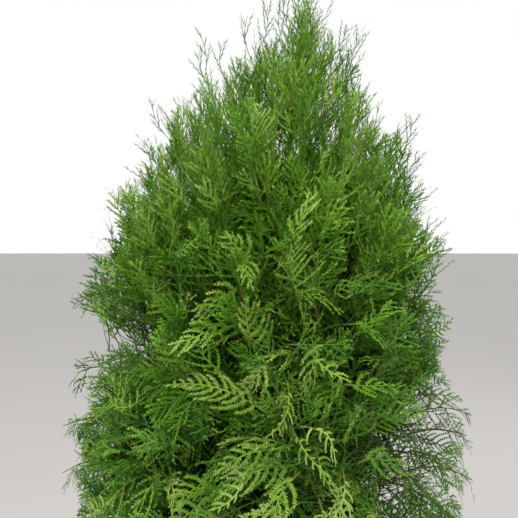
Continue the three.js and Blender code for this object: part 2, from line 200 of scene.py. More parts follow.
# a material in the making: one method adds any node by its type, its settings and its sockets
class Finish:
    def __init__(self, name):
        self.material = bpy.data.materials.new(name)
        self.material.use_nodes = True
        self.tree = self.material.node_tree
        self.shader = self.tree.nodes["Principled BSDF"]
        self.output = self.tree.nodes["Material Output"]

    def node(self, kind, settings=None, sockets=None, out=0):
        made = self.tree.nodes.new(kind)
        for key, value in (settings or {}).items():
            if key == "stops":
                self.setStops(made.color_ramp, value)
            else:
                setattr(made, key, value)
        for key, value in (sockets or {}).items():
            self.feed(made.inputs[key], value)
        return Value(self, made.outputs[out])

    def setStops(self, ramp, stops):
        while len(ramp.elements) < len(stops):
            ramp.elements.new(0.5)
        for element, (position, colour) in zip(ramp.elements, stops):
            element.position = position
            element.color = (*colour, 1)

    def feed(self, socket, value):
        if isinstance(value, Value):
            self.tree.links.new(value.socket, socket)
        elif isinstance(value, (tuple, list)) and len(value) == 3 and socket.type == "RGBA":
            socket.default_value = (*value, 1)
        else:
            socket.default_value = value

    def set(self, **sockets):
        for key, value in sockets.items():
            self.feed(self.shader.inputs[key.replace("_", " ")], value)

    def place(self, scale=(1, 1, 1)):
        here = self.node("ShaderNodeTexCoord", out="Object")
        return self.node("ShaderNodeMapping", None, {"Vector": here, "Scale": scale})

    def noise(self, where, scale, detail, rough, distortion=0.0):
        sockets = dict(Vector=where, Scale=scale, Detail=detail, Roughness=rough, Distortion=distortion)
        return self.node("ShaderNodeTexNoise", None, sockets)

    def blend(self, factor, first, second):
        sockets = {0: factor, 6: first, 7: second}
        return self.node("ShaderNodeMix", {"data_type": "RGBA"}, sockets, out=2)

    def ramp(self, factor, stops):
        return self.node("ShaderNodeValToRGB", {"stops": stops}, {0: factor})

    def bump(self, height, strength, distance):
        return self.node("ShaderNodeBump", None, dict(Height=height, Strength=strength, Distance=distance))

    # the share of the way from one height to another, up to the most that is asked for
    def rise(self, low, high, most=1.0):
        place = self.node("ShaderNodeTexCoord", out="Object")
        height = self.node("ShaderNodeSeparateXYZ", None, {0: place}, out="Z")
        ends = {"Value": height, "From Min": low, "From Max": high, "To Max": most}
        return self.node("ShaderNodeMapRange", None, ends)


# The plant's plan, by the same rule as its solids: trunk, crown outline, boughs and plumes
trunk = dict(
    foot=0.2743, tip=1.565, lean=(0.056, 0.008), leanPower=2.5, baseRadius=0.016, tipRadius=0.0016,
    taperPower=0.85, flareHeight=0.055, flareRadius=0.010, flareLobes=5, flareLobeShare=0.3,
)
crown = dict(
    # height and half width, out to the furthest tips
    outline=np.array([
        (0.335, 0.120), (0.400, 0.190), (0.540, 0.250), (0.700, 0.296), (0.800, 0.314), (0.880, 0.320),
        (1.000, 0.300), (1.160, 0.276), (1.220, 0.257), (1.280, 0.234), (1.340, 0.204), (1.400, 0.168),
        (1.450, 0.128), (1.490, 0.088), (1.520, 0.058), (1.560, 0.036), (1.598, 0.020),
    ]),
    bottom=0.335, top=1.598, leaderFrom=1.420, leaderTo=1.530, step=0.004, longest=0.330,
)
plume = dict(
    boughs=21, goldenAngle=math.radians(137.508), turnJitter=0.3, reachHeight=(0.440, 1.478),
    spacingPower=0.95, rise=(math.radians(4), math.radians(80)), risePower=0.7, reachJitter=0.08,
    run=(0.130, 0.330), tipReach=0.095, tipShare=0.42, innerShare=0.24, innerLeast=0.036,
    topStart=1.345, topReach=np.array([(1.596, 0.004), (1.545, 0.034), (1.528, 0.044)]), topTurn=0.2,
)
bough = dict(
    rootRadius=(0.007, 0.0038), tipShare=0.62, rise=1.05, trunkShare=0.75, lowest=0.045, spacing=0.004,
    topRadius=0.003, bendBack=0.5, leastBend=0.001,
)
tiers = dict(lower=7, middle=7, upper=7, top=3)


def trunkShare(z):
    return np.clip((z - trunk["foot"]) / (trunk["tip"] - trunk["foot"]), 0, 1)


def leaning(z, share):
    lean = np.array(trunk["lean"])
    return np.stack([lean[0] * share, lean[1] * share, z], -1)


def trunkCentre(z):
    z = np.asarray(z, float)
    return leaning(z, trunkShare(z) ** trunk["leanPower"])


# the crown stands upright for most of its height, then swings over to the leader
def crownCentre(z):
    z = np.asarray(z, float)
    t = np.clip((z - crown["leaderFrom"]) / (crown["leaderTo"] - crown["leaderFrom"]), 0, 1)
    return leaning(z, t * t * (3 - 2 * t))


def trunkRadius(z):
    return mix(trunk["baseRadius"], trunk["tipRadius"], trunkShare(z) ** trunk["taperPower"])


def crownRadius(z):
    return atHeight(crown["outline"], z)


# length of the way from each point along its direction to the crown's outline
def roomToOutline(origin, direction):
    steps = np.arange(1, int(crown["longest"] / crown["step"]) + 1) * crown["step"]
    p = origin[..., None, :] + direction[..., None, :] * steps[:, None]
    centre = crownCentre(p[..., 2])
    reach = np.hypot(p[..., 0] - centre[..., 0], p[..., 1] - centre[..., 1])
    outside = (p[..., 2] > crown["top"]) | (p[..., 2] < crown["bottom"]) | (reach > crownRadius(p[..., 2]))
    first = np.where(outside.any(-1), outside.argmax(-1), len(steps))
    return first * crown["step"]


# the boughs' plumes, on a golden spiral up the trunk
def spiralPlumes():
    i = np.arange(plume["boughs"])
    share = i / (plume["boughs"] - 1)
    turn = i * plume["goldenAngle"] + (chance(i, 1) - 0.5) * plume["turnJitter"]
    out = np.stack([np.cos(turn), np.sin(turn), 0 * turn], -1)
    rise = mix(*plume["rise"], share ** plume["risePower"])
    direction = out * np.cos(rise)[:, None] + np.stack([0 * rise, 0 * rise, np.sin(rise)], -1)
    reachHeight = mix(*plume["reachHeight"], 1 - (1 - share) ** plume["spacingPower"])
    reachRadius = crownRadius(reachHeight) * (1 - plume["reachJitter"] * chance(i, 2))
    inner = np.maximum(plume["innerLeast"], plume["innerShare"] * reachRadius)
    run = np.clip((reachRadius - inner) / np.cos(rise), *plume["run"])
    tip = crownCentre(reachHeight) + out * reachRadius[:, None]
    end = tip - direction * np.minimum(plume["tipReach"], run * plume["tipShare"])[:, None]
    start = tip - direction * run[:, None]
    beside = trunkCentre(start[:, 2])
    climb = np.hypot(*(start - beside)[:, :2].T) * bough["rise"]
    rootHeight = np.maximum(start[:, 2] - climb, trunk["foot"] + bough["lowest"] + bough["spacing"] * i)
    root = trunkCentre(rootHeight)
    thick = np.minimum(mix(*bough["rootRadius"], share), trunkRadius(rootHeight) * bough["trunkShare"])
    return dict(share=share, out=out, direction=direction, root=root, start=start, end=end, thick=thick)


# the plumes round the leader, which leave the trunk itself
def topPlumes():
    k = np.arange(len(plume["topReach"]))
    turn = plume["topTurn"] + k / len(k) * 2 * np.pi
    out = np.stack([np.cos(turn), np.sin(turn), 0 * turn], -1)
    tip = crownCentre(plume["topReach"][:, 0]) + out * plume["topReach"][:, 1:]
    root = trunkCentre(np.full(len(k), plume["topStart"]))
    start = root + out * trunkRadius(plume["topStart"]) * bough["trunkShare"]
    direction = unit(tip - start)
    return dict(
        share=np.ones(len(k)), out=out, direction=direction, root=root, start=start,
        end=tip - direction * plume["tipReach"], thick=np.full(len(k), bough["topRadius"]),
    )


def planPlumes():
    spiral, top = spiralPlumes(), topPlumes()
    plan = {key: np.concatenate([spiral[key], top[key]]) for key in spiral}
    plan["i"] = np.arange(len(plan["share"]))
    plan["side"] = np.stack([-plan["out"][:, 1], plan["out"][:, 0], 0 * plan["share"]], -1)
    plan["tier"] = np.repeat(np.arange(len(tiers)), list(tiers.values()))
    return plan


plumes = planPlumes()
tierNames = list(tiers)
nodeNames = [f"{tier}_{k + 1}" for tier, count in tiers.items() for k in range(count)]
print("plan:", len(nodeNames), "plumes")


# the masses of foliage of a tier, as the frame names them
def massesOf(tierName):
    return ["foliage_" + name for name in nodeNames if name.startswith(tierName)]


# Finishes
def barkFinish():
    f = Finish("bark_ridged")
    strips = f.noise(f.place((1, 1, 0.16)), 170.0, 5.0, 0.62, 0.6)
    weather = f.noise(f.place(), 14.0, 3.0, 0.5)
    browns = [(0.30, (0.045, 0.024, 0.014)), (0.52, (0.150, 0.084, 0.050)), (0.75, (0.30, 0.20, 0.135))]
    old = f.blend(weather * 0.7, f.ramp(strips, browns), (0.13, 0.105, 0.085))
    young = f.rise(1.15, 1.45)
    f.set(Base_Color=f.blend(young, old, (0.085, 0.095, 0.028)), Roughness=0.62 + strips * 0.3)
    f.set(Normal=f.bump(strips, 0.7, 0.0012))
    return f.material


def plainFinish(name, colour, rough, shine=0.35):
    f = Finish(name)
    f.set(Base_Color=colour, Roughness=rough, Specular_IOR_Level=shine)
    return f.material


# Greens from the shade inside the crown to the yellow of young tips, dealt out by spray. The darkest are
# painted shade inside the crown; the lighter ones are partly painted light, partly the sprays' own tones.
greens = [
    ("shade", (0.014, 0.052, 0.003)),
    ("deep", (0.031, 0.112, 0.007)),
    ("mid", (0.066, 0.184, 0.010)),
    ("fresh", (0.114, 0.268, 0.018)),
    ("bright", (0.188, 0.340, 0.040)),
    ("young", (0.276, 0.405, 0.092)),
]
# a leaf is matt and lets some light through, in a lighter shade of its own green
leaf = dict(rough=0.6, shine=0.15, through=0.2, glow=1.35)
# painted sky reflection: the blue of the darker greens against the list, a little more of it low down, a
# little less high up
paintedSkyBlue = dict(lower=1.8, middle=1.7, upper=0.85, top=0.85)
darkGreens = 4


def leafFinish(tier, number):
    name, (red, green, blue) = greens[number]
    # the darker greens get more blue by tier, as painted sky reflection
    colour = (red, green, blue * (paintedSkyBlue[tier] if number < darkGreens else 1.0))
    f = Finish(f"scale_leaf_{name}_{tier}")
    f.set(Base_Color=colour, Roughness=leaf["rough"], Specular_IOR_Level=leaf["shine"])
    lighter = tuple(min(1.0, c * leaf["glow"]) for c in colour)
    glow = f.node("ShaderNodeBsdfTranslucent", None, dict(Color=lighter))
    skin = Value(f, f.shader.outputs[0])
    both = f.node("ShaderNodeMixShader", None, {0: leaf["through"], 1: skin, 2: glow})
    f.tree.links.new(both.socket, f.output.inputs["Surface"])
    return f.material


leafMaterials = [[leafFinish(tier, number) for number in range(len(greens))] for tier in paintedSkyBlue]
bark = barkFinish()
twigBark = plainFinish("twig_bark", (0.082, 0.086, 0.022), 0.9, 0.1)
stalkSkin = plainFinish("young_stalk", (0.100, 0.130, 0.020), 0.7, 0.15)
fineBark = plainFinish("fine_twig_bark", (0.050, 0.096, 0.012), 0.8, 0.1)


# Trunk and boughs, with bark that peels in long strips
relief = dict(
    depth=0.07, waves=range(3, 12), drift=26.0, wander=(20, 70), wanderDepth=1.3, fade=0.45,
    trunkSides=72, trunkStations=260, trunkSeed=5,
    boughSides=28, boughStations=60, boughSeed=40, boughScale=0.3,
)


# ridges of bark: waves round the limb whose phase drifts along it, sharpened towards their crests
def barkRelief(turn, along, seed):
    rng = np.random.default_rng(seed)
    total = np.zeros(np.broadcast_shapes(turn.shape, along.shape))
    for m in relief["waves"]:
        phase = rng.uniform(0, 2 * np.pi)
        slope = rng.normal(0, relief["drift"])
        wander = relief["wanderDepth"] * np.sin(rng.uniform(*relief["wander"]) * along + phase)
        total = total + np.cos(m * turn + phase + slope * along + wander) / m ** relief["fade"]
    ridge = 1 - np.abs(np.tanh(total))
    return relief["depth"] * (ridge - 0.5)


def growTrunk():
    z = np.linspace(trunk["foot"], trunk["tip"], relief["trunkStations"])
    turn = np.arange(relief["trunkSides"]) / relief["trunkSides"] * 2 * np.pi
    lobes = 1 - trunk["flareLobeShare"] * (1 - np.cos(trunk["flareLobes"] * turn))
    flare = trunk["flareRadius"] * np.exp((trunk["foot"] - z) / trunk["flareHeight"])
    radius = trunkRadius(z)[:, None] + flare[:, None] * lobes
    radius = radius * (1 + barkRelief(turn[None], z[:, None], relief["trunkSeed"]))
    side = np.array([[-trunk["lean"][1], trunk["lean"][0], 0]])
    points, triangles = tubes(trunkCentre(z)[None], radius[None], unit(side))
    piece = makePiece("trunk_bark", points, triangles, [bark], smooth=True)
    declare(piece, ["trunk"])


# a bough leaves the trunk along its curve and turns into its plume's direction
def growBoughs():
    boughs = plumes["i"] < plume["boughs"]
    root, start, direction, out = (plumes[key][boughs] for key in ("root", "start", "direction", "out"))
    least = bough["leastBend"]
    bend = start - direction * bough["bendBack"] * np.linalg.norm(start - root, axis=1)[:, None]
    bend = bend + out * (np.hypot(*(bend - root)[:, :2].T) < least)[:, None] * least
    t = np.linspace(0, 1, relief["boughStations"])
    centres = bezier(root, bend, start, t)
    turn = np.arange(relief["boughSides"]) / relief["boughSides"] * 2 * np.pi
    for tier, name in enumerate(tierNames[:3]):
        rows = np.flatnonzero(plumes["tier"][boughs] == tier)
        radius = plumes["thick"][rows, None, None] * mix(1, bough["tipShare"], t)[None, :, None]
        along = t[:, None] * relief["boughScale"]
        grain = np.stack([barkRelief(turn[None], along, relief["boughSeed"] + row) for row in rows])
        points, triangles = tubes(centres[rows], radius * (1 + grain), plumes["side"][rows])
        piece = makePiece("boughs_" + name, points, triangles, [bark], smooth=True)
        declare(piece, ["bough_" + nodeNames[row] for row in rows])


growTrunk()
growBoughs()
print("trunk and boughs grown")


# A flat spray lying along +X: a midrib, side shoots by turns that lean forward, and along each of them pairs
# of short scale-clad teeth, like a comb's
def planShoots(look, rng):
    count = int(look["length"] * (look["leafyTo"] - look["bare"]) / look["pitch"])
    share = look["bare"] + (np.arange(count) + 0.5) * look["pitch"] / look["length"]
    side = np.where(np.arange(count) % 2 == 0, 1.0, -1.0)
    envelope = np.sin(np.pi * np.clip(share, 0, 1) ** look["belly"]) ** look["taper"]
    angle = np.radians(mix(*look["angle"], share)) * rng.normal(1, look["angleJitter"], count)
    reach = look["half"] * envelope / np.sin(angle) * rng.normal(1, look["ragged"], count)
    reach = reach * np.where(side > 0, 1, 1 - look["lopsided"])
    reach = np.maximum(reach, look["tooth"] * look["least"])
    slope = rng.normal(0, look["scatter"], count)
    return dict(
        share=share, side=side, angle=angle, reach=reach, slope=slope, rate=look["curl"] * angle / reach,
        bow=look["bow"] * rng.choice([-1, 1]),
    )


# the midrib bows to one side and comes most of the way back
def ribAt(look, shoots, share):
    bow = shoots["bow"] * np.sin(np.pi * share * look["bowShare"])
    return np.stack([look["length"] * share, bow, 0 * share], -1)


# The places so far out along each shoot, and its heading there. The heading turns evenly forward, so the
# place is its integral: the sine and cosine of the heading over the rate at which it turns.
def shootAt(look, shoots, u):
    angle, rate, side, slope = (shoots[key][:, None] for key in ("angle", "rate", "side", "slope"))
    heading = angle - rate * u
    x = (np.sin(angle) - np.sin(heading)) / rate
    y = (np.cos(heading) - np.cos(angle)) / rate
    z = slope * u - look["droop"] * u ** 2
    return ribAt(look, shoots, shoots["share"])[:, None] + np.stack([x, y * side, z], -1), heading


# Teeth: a nearly opposite pair at each station, shorter towards the shoot's end, and one at that end. With
# their shapes comes how far out in the spray each face stands, along the midrib and along its shoot.
teeth = dict(
    place=0.55, stagger=0.2, last=0.97, ends=0.98, angleJitter=0.12, size=(0.78, 1.15), outward=(0.55, 0.6),
)


def growTeeth(look, shoots, rng):
    share, side, reach = (shoots[key][:, None] for key in ("share", "side", "reach"))
    stations = int(np.ceil(reach.max() / look["step"]))
    flank = np.append(np.tile([1.0, -1.0], stations), 0.0)
    u = (np.repeat(np.arange(stations), 2) + teeth["place"] + teeth["stagger"] * flank[:-1]) * look["step"]
    u = np.concatenate([np.repeat(u[None], len(reach), 0), reach * teeth["last"]], 1)
    alive = u < reach * teeth["ends"]
    foot, heading = shootAt(look, shoots, u)
    way = heading + flank * np.radians(look["toothAngle"]) * rng.normal(1, teeth["angleJitter"], u.shape)
    size = look["tooth"] * mix(1, look["toothEnd"], u / reach) * rng.uniform(*teeth["size"], u.shape)
    size = size * mix(1, look["tipTooth"], share)
    outer = share * teeth["outward"][0] + u / reach * teeth["outward"][1]
    way, size, foot, outer = way[alive], size[alive], foot[alive], outer[alive]
    s = np.repeat(side, len(flank), 1)[alive]
    lift = rng.normal(0, look["scatter"], len(way))
    ahead = np.stack([np.cos(way), np.sin(way) * s, lift], -1) * size[:, None]
    tilt = rng.normal(0, look["tilt"], len(way))
    aside = np.stack([-np.sin(way) * s, np.cos(way), tilt], -1) * look["toothWidth"] / 2
    if look["blunt"]:
        end = aside * look["blunt"]
        corners = [foot - aside, foot + aside, foot + ahead + end, foot + ahead - end]
        faces = np.array([[0, 1, 2], [0, 2, 3]])
    else:
        corners = [foot - aside, foot + aside, foot + ahead]
        faces = np.array([[0, 1, 2]])
    return copies(np.stack(corners, 1), faces), np.repeat(outer, len(faces))


# the shoots' own stalks: a strip of pairs of points along each, which ends in a point
def growStalks(look, shoots):
    pairs = look["stalkSteps"]
    at, heading = shootAt(look, shoots, shoots["reach"][:, None] * np.arange(pairs + 1)[None] / pairs)
    across = np.stack([-np.sin(heading) * shoots["side"][:, None], np.cos(heading), 0 * heading], -1)
    girth = look["stalkWidth"] / 2 * mix(1, look["thinTo"], np.arange(pairs) / pairs)[None, :, None]
    left, right = at[:, :-1] - across[:, :-1] * girth, at[:, :-1] + across[:, :-1] * girth
    strips = np.concatenate([np.stack([left, right], 2).reshape(len(at), -1, 3), at[:, -1:]], 1)
    end = [[2 * pairs - 2, 2 * pairs - 1, 2 * pairs]]
    return copies(strips, np.concatenate([gridTriangles(pairs, 2, False), end]))


# the midrib, a strip that tapers to the spray's own last tip, and how far along it each face starts
def growRib(look, shoots):
    t = np.linspace(0, 1, look["ribSteps"] + 1)
    centre = ribAt(look, shoots, t)
    girth = mix(look["ribWidth"], look["stalkWidth"] * look["thinTo"], t) / 2
    girth = np.stack([0 * t, girth, 0 * t], -1)
    rib = np.stack([centre - girth, centre + girth], 1).reshape(-1, 3)
    return (rib, gridTriangles(len(t), 2, False)), np.tile(t[:-1], 2)


# the points of a spray over its length, its triangles, and what each is: 0 bare stalk, 1 green, 2 young tip
def sprayShape(look, seed):
    rng = np.random.default_rng(seed)
    shoots = planShoots(look, rng)
    toothFaces, outer = growTeeth(look, shoots, rng)
    stalks = growStalks(look, shoots)
    rib, along = growRib(look, shoots)
    points, triangles = joined([toothFaces, stalks, rib])
    kind = np.concatenate([
        np.where(outer > look["youngFrom"], 2, 1), np.ones(len(stalks[1]), int),
        np.where(along < look["stalkShare"], 0, 1),
    ])
    return dict(points=points / look["length"], triangles=triangles, kind=kind, length=look["length"])


# Kinds of spray: broad fronds nearest the eye, young combs of hooked fingers, fans low down, closer plumes in
# the middle, narrow feathers at the top, thin forked spires that stand out of the upper crown, open lace at
# the sides, and coarse ones inside, dark with painted shade. What a kind doesn't say is as in the usual look.
usualLook = dict(
    leafyTo=0.97, taper=0.75, angleJitter=0.08, lopsided=0, least=1.1, tipTooth=1, blunt=0, tilt=0.45,
    bowShare=0.9, stalkSteps=2, thinTo=0.6, ribSteps=5,
)
ownLooks = dict(
    frond=dict(
        length=0.100, pitch=0.0054, step=0.0028, bare=0.10, half=0.030, belly=0.50, taper=1.25,
        angle=(66, 36), curl=0.74, ragged=0.24, lopsided=0.30, least=0.7, tooth=0.0048, toothEnd=0.60,
        tipTooth=0.6, toothWidth=0.0017, blunt=0.4, tilt=0.4, toothAngle=44, scatter=0.20, droop=9.0,
        bow=0.010, stalkWidth=0.0016, stalkSteps=3, ribWidth=0.0021, ribSteps=8, stalkShare=0.3,
        youngFrom=0.62,
    ),
    comb=dict(
        length=0.070, pitch=0.0036, step=0.0026, bare=0.14, half=0.0150, belly=0.58, taper=0.9,
        angle=(86, 60), curl=0.52, ragged=0.26, lopsided=0.45, least=1.6, tooth=0.0021, toothEnd=0.7,
        toothWidth=0.0017, blunt=0.4, tilt=0.3, toothAngle=42, scatter=0.28, droop=16.0, bow=0.016,
        stalkWidth=0.0025, stalkSteps=4, ribWidth=0.0022, ribSteps=8, stalkShare=0.2, youngFrom=0.55,
    ),
    fan=dict(
        length=0.085, pitch=0.0046, step=0.0037, bare=0.08, half=0.018, belly=0.60, angle=(58, 36), curl=0.65,
        ragged=0.20, tooth=0.0040, toothEnd=0.72, toothWidth=0.0021, toothAngle=42, scatter=0.26, droop=8.0,
        bow=0.006, stalkWidth=0.0018, ribWidth=0.0021, ribSteps=6, stalkShare=0.25, youngFrom=0.64,
    ),
    lace=dict(
        length=0.050, pitch=0.0056, step=0.0042, bare=0.14, half=0.013, belly=0.65, angle=(52, 36), curl=0.45,
        ragged=0.28, tooth=0.0042, toothEnd=0.8, toothWidth=0.0017, tilt=0.4, toothAngle=40, scatter=0.30,
        droop=4.0, bow=0.006, stalkWidth=0.0012, ribWidth=0.0013, stalkShare=0.75, youngFrom=0.8,
    ),
    plumelet=dict(
        length=0.082, pitch=0.0052, step=0.0046, bare=0.07, half=0.014, belly=0.58, angle=(44, 25), curl=0.34,
        ragged=0.26, tooth=0.0056, toothEnd=0.78, toothWidth=0.0023, toothAngle=31, scatter=0.28, droop=1.5,
        bow=0.007, stalkWidth=0.0015, ribWidth=0.0019, stalkShare=0.2, youngFrom=0.76,
    ),
    feather=dict(
        length=0.090, pitch=0.0066, step=0.0058, bare=0.06, half=0.013, belly=0.55, angle=(33, 19), curl=0.26,
        ragged=0.28, tooth=0.0076, toothEnd=0.88, toothWidth=0.0019, toothAngle=23, scatter=0.28, droop=0.2,
        bow=0.008, stalkWidth=0.0014, stalkSteps=3, ribWidth=0.0017, ribSteps=6, stalkShare=0.1,
        youngFrom=0.90,
    ),
    spire=dict(
        length=0.095, pitch=0.0105, step=0.0095, bare=0.12, half=0.012, belly=0.50, angle=(27, 17), curl=0.20,
        ragged=0.34, tooth=0.0100, toothEnd=0.9, toothWidth=0.0012, tilt=0.3, toothAngle=22, scatter=0.24,
        droop=-0.4, bow=0.009, stalkWidth=0.0011, stalkSteps=3, ribWidth=0.0013, ribSteps=8, stalkShare=0.0,
        youngFrom=9.0,
    ),
    inner=dict(
        length=0.125, pitch=0.0100, step=0.0080, bare=0.05, half=0.036, belly=0.62, angle=(52, 34), curl=0.30,
        ragged=0.15, tooth=0.0125, toothEnd=0.7, toothWidth=0.0050, tilt=0.4, toothAngle=34, scatter=0.16,
        droop=0.8, bow=0.004, stalkWidth=0.0032, stalkSteps=1, ribWidth=0.0030, ribSteps=3, stalkShare=0.6,
        youngFrom=9.0,
    ),
)
sprayLooks = {name: {**usualLook, **own} for name, own in ownLooks.items()}
lookNames = list(sprayLooks)
# each kind has shapes of several lengths, with teeth of the same size, and for each a close and an open one
shapeLengths = np.array([0.6, 0.8, 1.0, 1.25])
openness = (0.92, 1.35)


def shapesOf(look, firstSeed):
    shapes = []
    for share in shapeLengths:
        for wide in openness:
            stretched = {**look, "length": look["length"] * share, "pitch": look["pitch"] * wide}
            shapes.append(sprayShape(stretched, firstSeed + len(shapes)))
    return shapes


sprays = [shapesOf(look, 100 * number) for number, look in enumerate(sprayLooks.values())]
for name, shapes in zip(lookNames, sprays):
    print("spray", name, [len(shape["triangles"]) for shape in shapes])


# Twigs round each plume's stem, by the same turn and fan as the solids but many more of them
growth = dict(
    twigs=24, place=(0.02, 1.0), turn=0.618, plumeTurn=0.37, spread=(0.92 * math.pi, 0.75 * math.pi),
    fan=(math.radians(64), math.radians(34)), fanJitter=(0.85, 1.15), fanUse=40, lift=(-0.05, 0.4),
    reach=(0.58, 0.78), openStart=1.35, droop=(0.06, -0.06), faceUp=(1.0, 0.2), faceOut=(0.7, 1.0),
    least=0.02, seed=11,
)


def growTwigs():
    rng = np.random.default_rng(growth["seed"])
    k = np.arange(growth["twigs"])
    column = {key: value[:, None] for key, value in plumes.items()}
    i, share, ahead = column["i"], column["share"], column["direction"]
    shape = (len(i), len(k))
    place = mix(*growth["place"], (k + 0.5) / len(k))[None] * np.ones(shape)
    start = mix(column["start"], column["end"], place[..., None])
    below = unit(np.cross(plumes["side"], plumes["direction"]))[:, None]
    turns = (k * growth["turn"] + i * growth["plumeTurn"]) % 1
    turn = mix(*growth["spread"], share) * (2 * turns - 1)
    fan = mix(*growth["fan"], place) * mix(*growth["fanJitter"], chance(i, growth["fanUse"] + k))
    ray = column["side"] * np.sin(turn)[..., None] + below * np.cos(turn)[..., None]

    def heading(angle):
        way = ahead * np.cos(angle)[..., None] + ray * np.sin(angle)[..., None]
        way[..., 2] += mix(*growth["lift"], share)
        return unit(way)

    direction = heading(fan)
    reach = roomToOutline(start, direction) * rng.uniform(*growth["reach"], shape)
    end = start + direction * reach[..., None]
    end[..., 2] -= mix(*growth["droop"], share) * reach
    bend = start + heading(fan * growth["openStart"]) * reach[..., None] * 0.5
    face = column["out"] * mix(*growth["faceOut"], share)[..., None] * np.ones((*shape, 1))
    face[..., 2] += mix(*growth["faceUp"], share)
    grown = dict(start=start, bend=bend, end=end, face=face, share=share, tier=column["tier"])
    keep = reach > growth["least"]
    return {key: np.broadcast_to(value, (*shape, *value.shape[2:]))[keep] for key, value in grown.items()}


twigs = growTwigs()
print("twigs:", len(twigs["tier"]))

# Bays and bulges of the crown's outline: turn from +X in degrees, height, depth, and how far they spread
lobes = dict(
    rows=np.array([
        (-12, 1.45, 0.012), (-12, 1.34, 0.020), (-12, 1.14, -0.020), (-12, 1.05, -0.024), (-12, 0.96, -0.044),
        (-14, 0.76, -0.080), (192, 1.46, -0.034), (192, 1.35, -0.030), (192, 1.28, 0.000), (192, 1.16, 0.008),
        (192, 1.06, -0.078), (192, 0.96, -0.012), (192, 0.86, 0.012), (196, 0.76, -0.062),
    ]),
    turnSpread=math.radians(30), heightSpread=0.035, rough=0.010,
)


# how far the outline stands out of the plain one at a turn and a height: the lobes, and a slow unevenness
def lobeAt(turn, z):
    lobeTurn, lobeHeight, depth = lobes["rows"].T
    way = (turn[:, None] - np.radians(lobeTurn) + np.pi) % (2 * np.pi) - np.pi
    fall = (way / lobes["turnSpread"]) ** 2 + ((z[:, None] - lobeHeight) / lobes["heightSpread"]) ** 2
    slow = np.sin(4 * turn + 23 * z) * np.cos(31 * z - 3 * turn) * lobes["rough"]
    return np.sum(depth * np.exp(-fall), 1) + slow


# How sprays grow. By height: how much their direction is upwards against outwards, how much of their stray is
# sideways, how much their face looks up, the share of them that stand edge-on, their sag, how many tones
# lighter they are, as painted light that is darker low down and lighter high up, and the lightest tone there
# is. Past reach a tip's distance from +Z grows only by the share beyond.
habit = dict(
    up=((0.335, -0.25), (0.60, 0.05), (0.90, 0.45), (1.08, 0.85), (1.20, 1.60), (1.45, 2.6), (1.60, 4.0)),
    sideways=((0.7, 0.7), (1.0, 1.0)),
    faceUp=((0.335, 0.9), (0.9, 0.6), (1.45, 0.15)),
    edgeOn=((0.4, 0.25), (1.05, 0.32), (1.25, 0.50)),
    sag=((0.4, 0.30), (1.0, 0.20), (1.25, 0.06), (1.4, -0.03)),
    # light: painted light, darker low in the crown and lighter towards the top
    light=((0.4, -0.1), (0.95, -0.22), (1.10, 0.1), (1.20, 0.65), (1.35, 1.3), (1.55, 1.85)),
    lightest=((1.06, 5), (1.12, 4)),
    upJitter=0.35, out=(0.45, 1.0), faceJitter=0.40, featherFrom=1.29, plumeletFrom=1.10, kindJitter=0.05,
    lightJitter=0.8, patch=0.6, sagRange=(0.2, 1.8), bend=(-0.06, 0.18), twist=0.6, middle=0.01,
    shortened=0.6, narrowest=0.006, reach=0.300, beyond=0.45,
)
above = np.array([0, 0, 1.0])


# a place on the crown at a turn and a height, so far inside the outline, with the way out and aside there
def skinPlace(turn, z, inset):
    out = np.stack([np.cos(turn), np.sin(turn), 0 * turn], -1)
    aside = np.stack([-out[:, 1], out[:, 0], 0 * turn], -1)
    radius = np.maximum(crownRadius(z) + lobeAt(turn, z) - inset, habit["narrowest"])
    return crownCentre(z) + out * radius[:, None], out, aside


# Evenly spread points of the crown's outline, as heights and turns: equal areas along the height, the golden
# angle round it, and a little stray
stray = dict(steps=1200, along=(0.2, 0.8), turn=0.10)


def skinPoints(shell, rng):
    count = shell["count"]
    z = np.linspace(*shell["heights"], stray["steps"])
    radius = crownRadius(z)
    area = radius * np.hypot(1, np.gradient(radius, z)) * atHeight(shell["thin"], z)
    spots = (np.arange(count) + rng.uniform(*stray["along"], count)) / count
    turn = np.arange(count) * plume["goldenAngle"] + rng.normal(0, stray["turn"], count)
    return np.interp(spots, np.cumsum(area) / area.sum(), z), turn + rng.uniform(0, 2 * np.pi)
